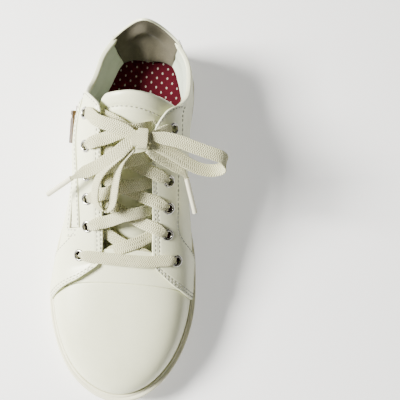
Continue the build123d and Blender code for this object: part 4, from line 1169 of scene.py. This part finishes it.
def make_lacing():
    for side, hump in ((-1, 3.6), (1, -1.0)):
        name = SIDES[side]
        runs = [band(f"run_{name}_{row}", *lace_run(side, row, hump)) for row in (4, 3, 2, 1)]
        runs.append(band(f"run_{name}_low", *low_run(side)))
        settle(join(runs, f"lace_runs_{name}_cloth"), f"lace_runs_{name}")
    # the straight bar across the lowest pair, from each eyelet to the lip of its eyestay
    left, right = (
        [point_on(side, y, radius - 0.7, -1.4), point_on(side, y, radius - 2.3, 3.0),
         point_on(side, y, radius - 5.0, 3.4), point_on(side, -37.5, 17.0, 3.0)]
        for side, (y, radius) in ((side, EYELETS[side][5]) for side in SIDES))
    centre = (left[-1] + right[-1]) / 2 + (0, -0.6, 0.9)
    facing = [(0.9, -0.2, 1), (-0.1, -0.4, 1), (-0.45, -0.4, 1), (-0.35, -0.4, 1), (0, -0.4, 1),
              (0.35, -0.4, 1), (0.45, -0.4, 1), (0.1, -0.4, 1), (-0.9, -0.2, 1)]
    line, facing, run = lace_line([*left, centre, *right[::-1]], facing, 90)
    width = spread_out(np.minimum(run, run[-1] - run), 10.0)
    settle(band("lace_bar_cloth", line, facing, width), "lace_bar")
    # the top strands, from the top eyelets to the knot
    for side, stop, rise, full in ((-1, (9.0, 32.5, 95.6), 2.4, LACE_WIDTH),
                                   (1, (16.5, 34.5, 94.2), 0.8, 5.6)):
        y, radius = EYELETS[side][0]
        points = [point_on(side, y, radius - 0.7, -1.4), point_on(side, y - 0.4, radius - 2.3, 3.0),
                  point_on(side, y - 1.4, radius - 5.0, 3.8), point_on(side, y - 5.0, 17.0, 5.6)]
        points += [(points[-1] + stop) * 0.5 + (0, 0, rise), stop]
        facing = [(-side, -0.2, 1), (side * 0.1, -0.3, 1), (side * 0.5, -0.3, 1),
                  (side * 0.4, -0.3, 1), (side * 0.2, -0.4, 1), (0, -0.4, 1)]
        line, facing, run = lace_line(points, facing, 60)
        width = spread_out(run, 10.0, full) * (0.72 + 0.28 * ease((run[-1] - run) / 8.0))
        name = SIDES[side]
        settle(band(f"lace_strand_{name}_cloth", line, facing, width), f"lace_strand_{name}")


def make_knot():
    """A wrap round two flattened folds of lace."""
    angles = turns(48)
    x, y, z = KNOT
    wraps = []
    for shift, half_y, half_z, width, turn in ((0.6, 5.8, 3.1, 6.2, 0.6),
                                               (-2.2, 4.4, 2.3, 4.6, -1.8)):
        line = np.stack([x + shift + turn * np.sin(angles),
                         y + half_y * squash(np.cos(angles), 0.8),
                         z - 0.3 + half_z * squash(np.sin(angles), 0.7)], axis=-1)
        facing = np.stack([0 * angles, np.cos(angles), np.sin(angles)], axis=-1)
        wraps.append(band("wrap", line, facing, width, 1.3, closed=True))
    for start, aside, up, width in ((-5.6, -0.6, 0.6, 7.0), (-5.2, 1.6, -1.4, 6.6)):
        line = KNOT + smooth_line([(start, aside, up - 0.6), (-1.5, aside * 0.4, up),
                                   (2.0, -aside * 0.4, up), (5.8, -aside, up - 0.5)], 24)
        wraps.append(band("wrap", line, np.broadcast_to((0, -0.1, 1.0), line.shape), width, 2.6))
    settle(join(wraps, "lace_knot_cloth"), "lace_knot")


# --- Side zip ---
def zip_strip(ys, low, high, rise, outside, inside, round_by):
    """Panel along the zip, between two distances from its centre line."""
    t = -station(ys)
    v = blend(zip_v(t, low)[:, None], zip_v(t, high)[:, None], rise[None, :])
    return upper_panel(t[:, None], v, outside, inside, round_by=round_by)


def make_zip_cloths():
    """Flap over the zip, the tapes that carry its teeth, and a patch over its lower end."""
    top, bottom = ZIP_TOP[1], ZIP_BOTTOM[1]
    flap = zip_strip(top + (bottom - top) * spread(70, 85.0), 2.8, 9.0,
                     spread(14, 6.4, (0.0, 0.25, 0.6)), LEATHER + 1.5, LEATHER + 0.5, 0.6)
    settle(flap.mesh("zip_flap_leather", "white_leather"), "zip_flap")
    ys = top + 1.0 + (bottom - 2.0 - top) * spread(70, 85.0)
    for name, low, high in (("upper", 0.9, 9.5), ("lower", -9.0, -0.9)):
        tape = zip_strip(ys, low, high, spread(16, 8.6, (0.0, 0.2, 0.5)), -1.5, -2.1, 0.3)
        settle(tape.mesh(f"zip_tape_{name}_cloth", "zip_tape"), f"zip_tape_{name}")
    patch = zip_strip(bottom - 0.4 - 5.6 * spread(16, 5.6), -4.0, 8.6, spread(22, 13.0),
                      LEATHER + 0.5, 0.1, 0.7)
    settle(patch.mesh("zip_end_patch", "white_leather"))
    return [flap.line("right", 1.0, 0.02, 0.98), patch.line("last", 1.2, 0.1, 0.9),
            patch.line("first", 1.2, 0.1, 0.9)]


make_sole()
make_toe_and_vamp()
lines = make_eyestays()
make_eyelets()
lines += make_quarters()
lines += make_collar()
lines += make_zip_cloths()
stitch_mesh("upper_stitching", "root", lines)
stitch_mesh("tongue_stitching", "tongue", make_tongue())
make_lacing()
make_knot()

# every node that stays keeps its shape and takes its slot's material
SLOT_OF = {row["node"]: row["material_slot"] for row in frame["record"]["subparts"]}
for node, piece in frame["nodes"].items():
    piece.data.materials.clear()
    piece.data.materials.append(MATERIALS[SLOT_OF[node]])


# --- Floor and light ---
def make_stage():
    mesh = bpy.data.meshes.new("floor")
    reach = 2.5
    mesh.from_pydata([(-reach, -reach, -0.0005), (reach, -reach, -0.0005), (reach, reach, -0.0005),
                      (-reach, reach, -0.0005)], [], [(0, 1, 2, 3)])
    floor = add_object("floor", mesh)
    n = Nodes("floor")
    tone = n.ramp(n.noise(3.0), (0.3, (0.90, 0.90, 0.895)), (0.7, (0.93, 0.93, 0.925)))
    mesh.materials.append(n.finish(tone, 0.9, Emission_Color=(1.0, 1.0, 1.0, 1.0),
                                   Emission_Strength=0.45))
    world = bpy.data.worlds.new("studio")
    world.use_nodes = True
    sky = world.node_tree.nodes["Background"].inputs
    sky["Color"].default_value, sky["Strength"].default_value = (1.0, 1.0, 0.95, 1.0), 0.07
    bpy.context.scene.world = world
    lights = (("key", (-1.0, 0.0, 0.84), 0.42, 84.0), ("toe", (-0.2, -1.1, 0.6), 0.9, 3.0),
              ("heel", (-0.1, 1.1, 0.5), 0.9, 2.0))
    for name, place, size, power in lights:
        data = bpy.data.lights.new(name, "AREA")
        data.size, data.energy = size, power
        data.color = (1.0, 0.98, 0.93)
        back = unit(np.array(place) - (0.0, 0.0, 0.05))
        side = unit(np.cross((0.0, 1.0, 0.001), back))
        add_object(name, data).matrix_world = placed((side, np.cross(back, side), back), place)


make_stage()
bpy.context.view_layer.update()
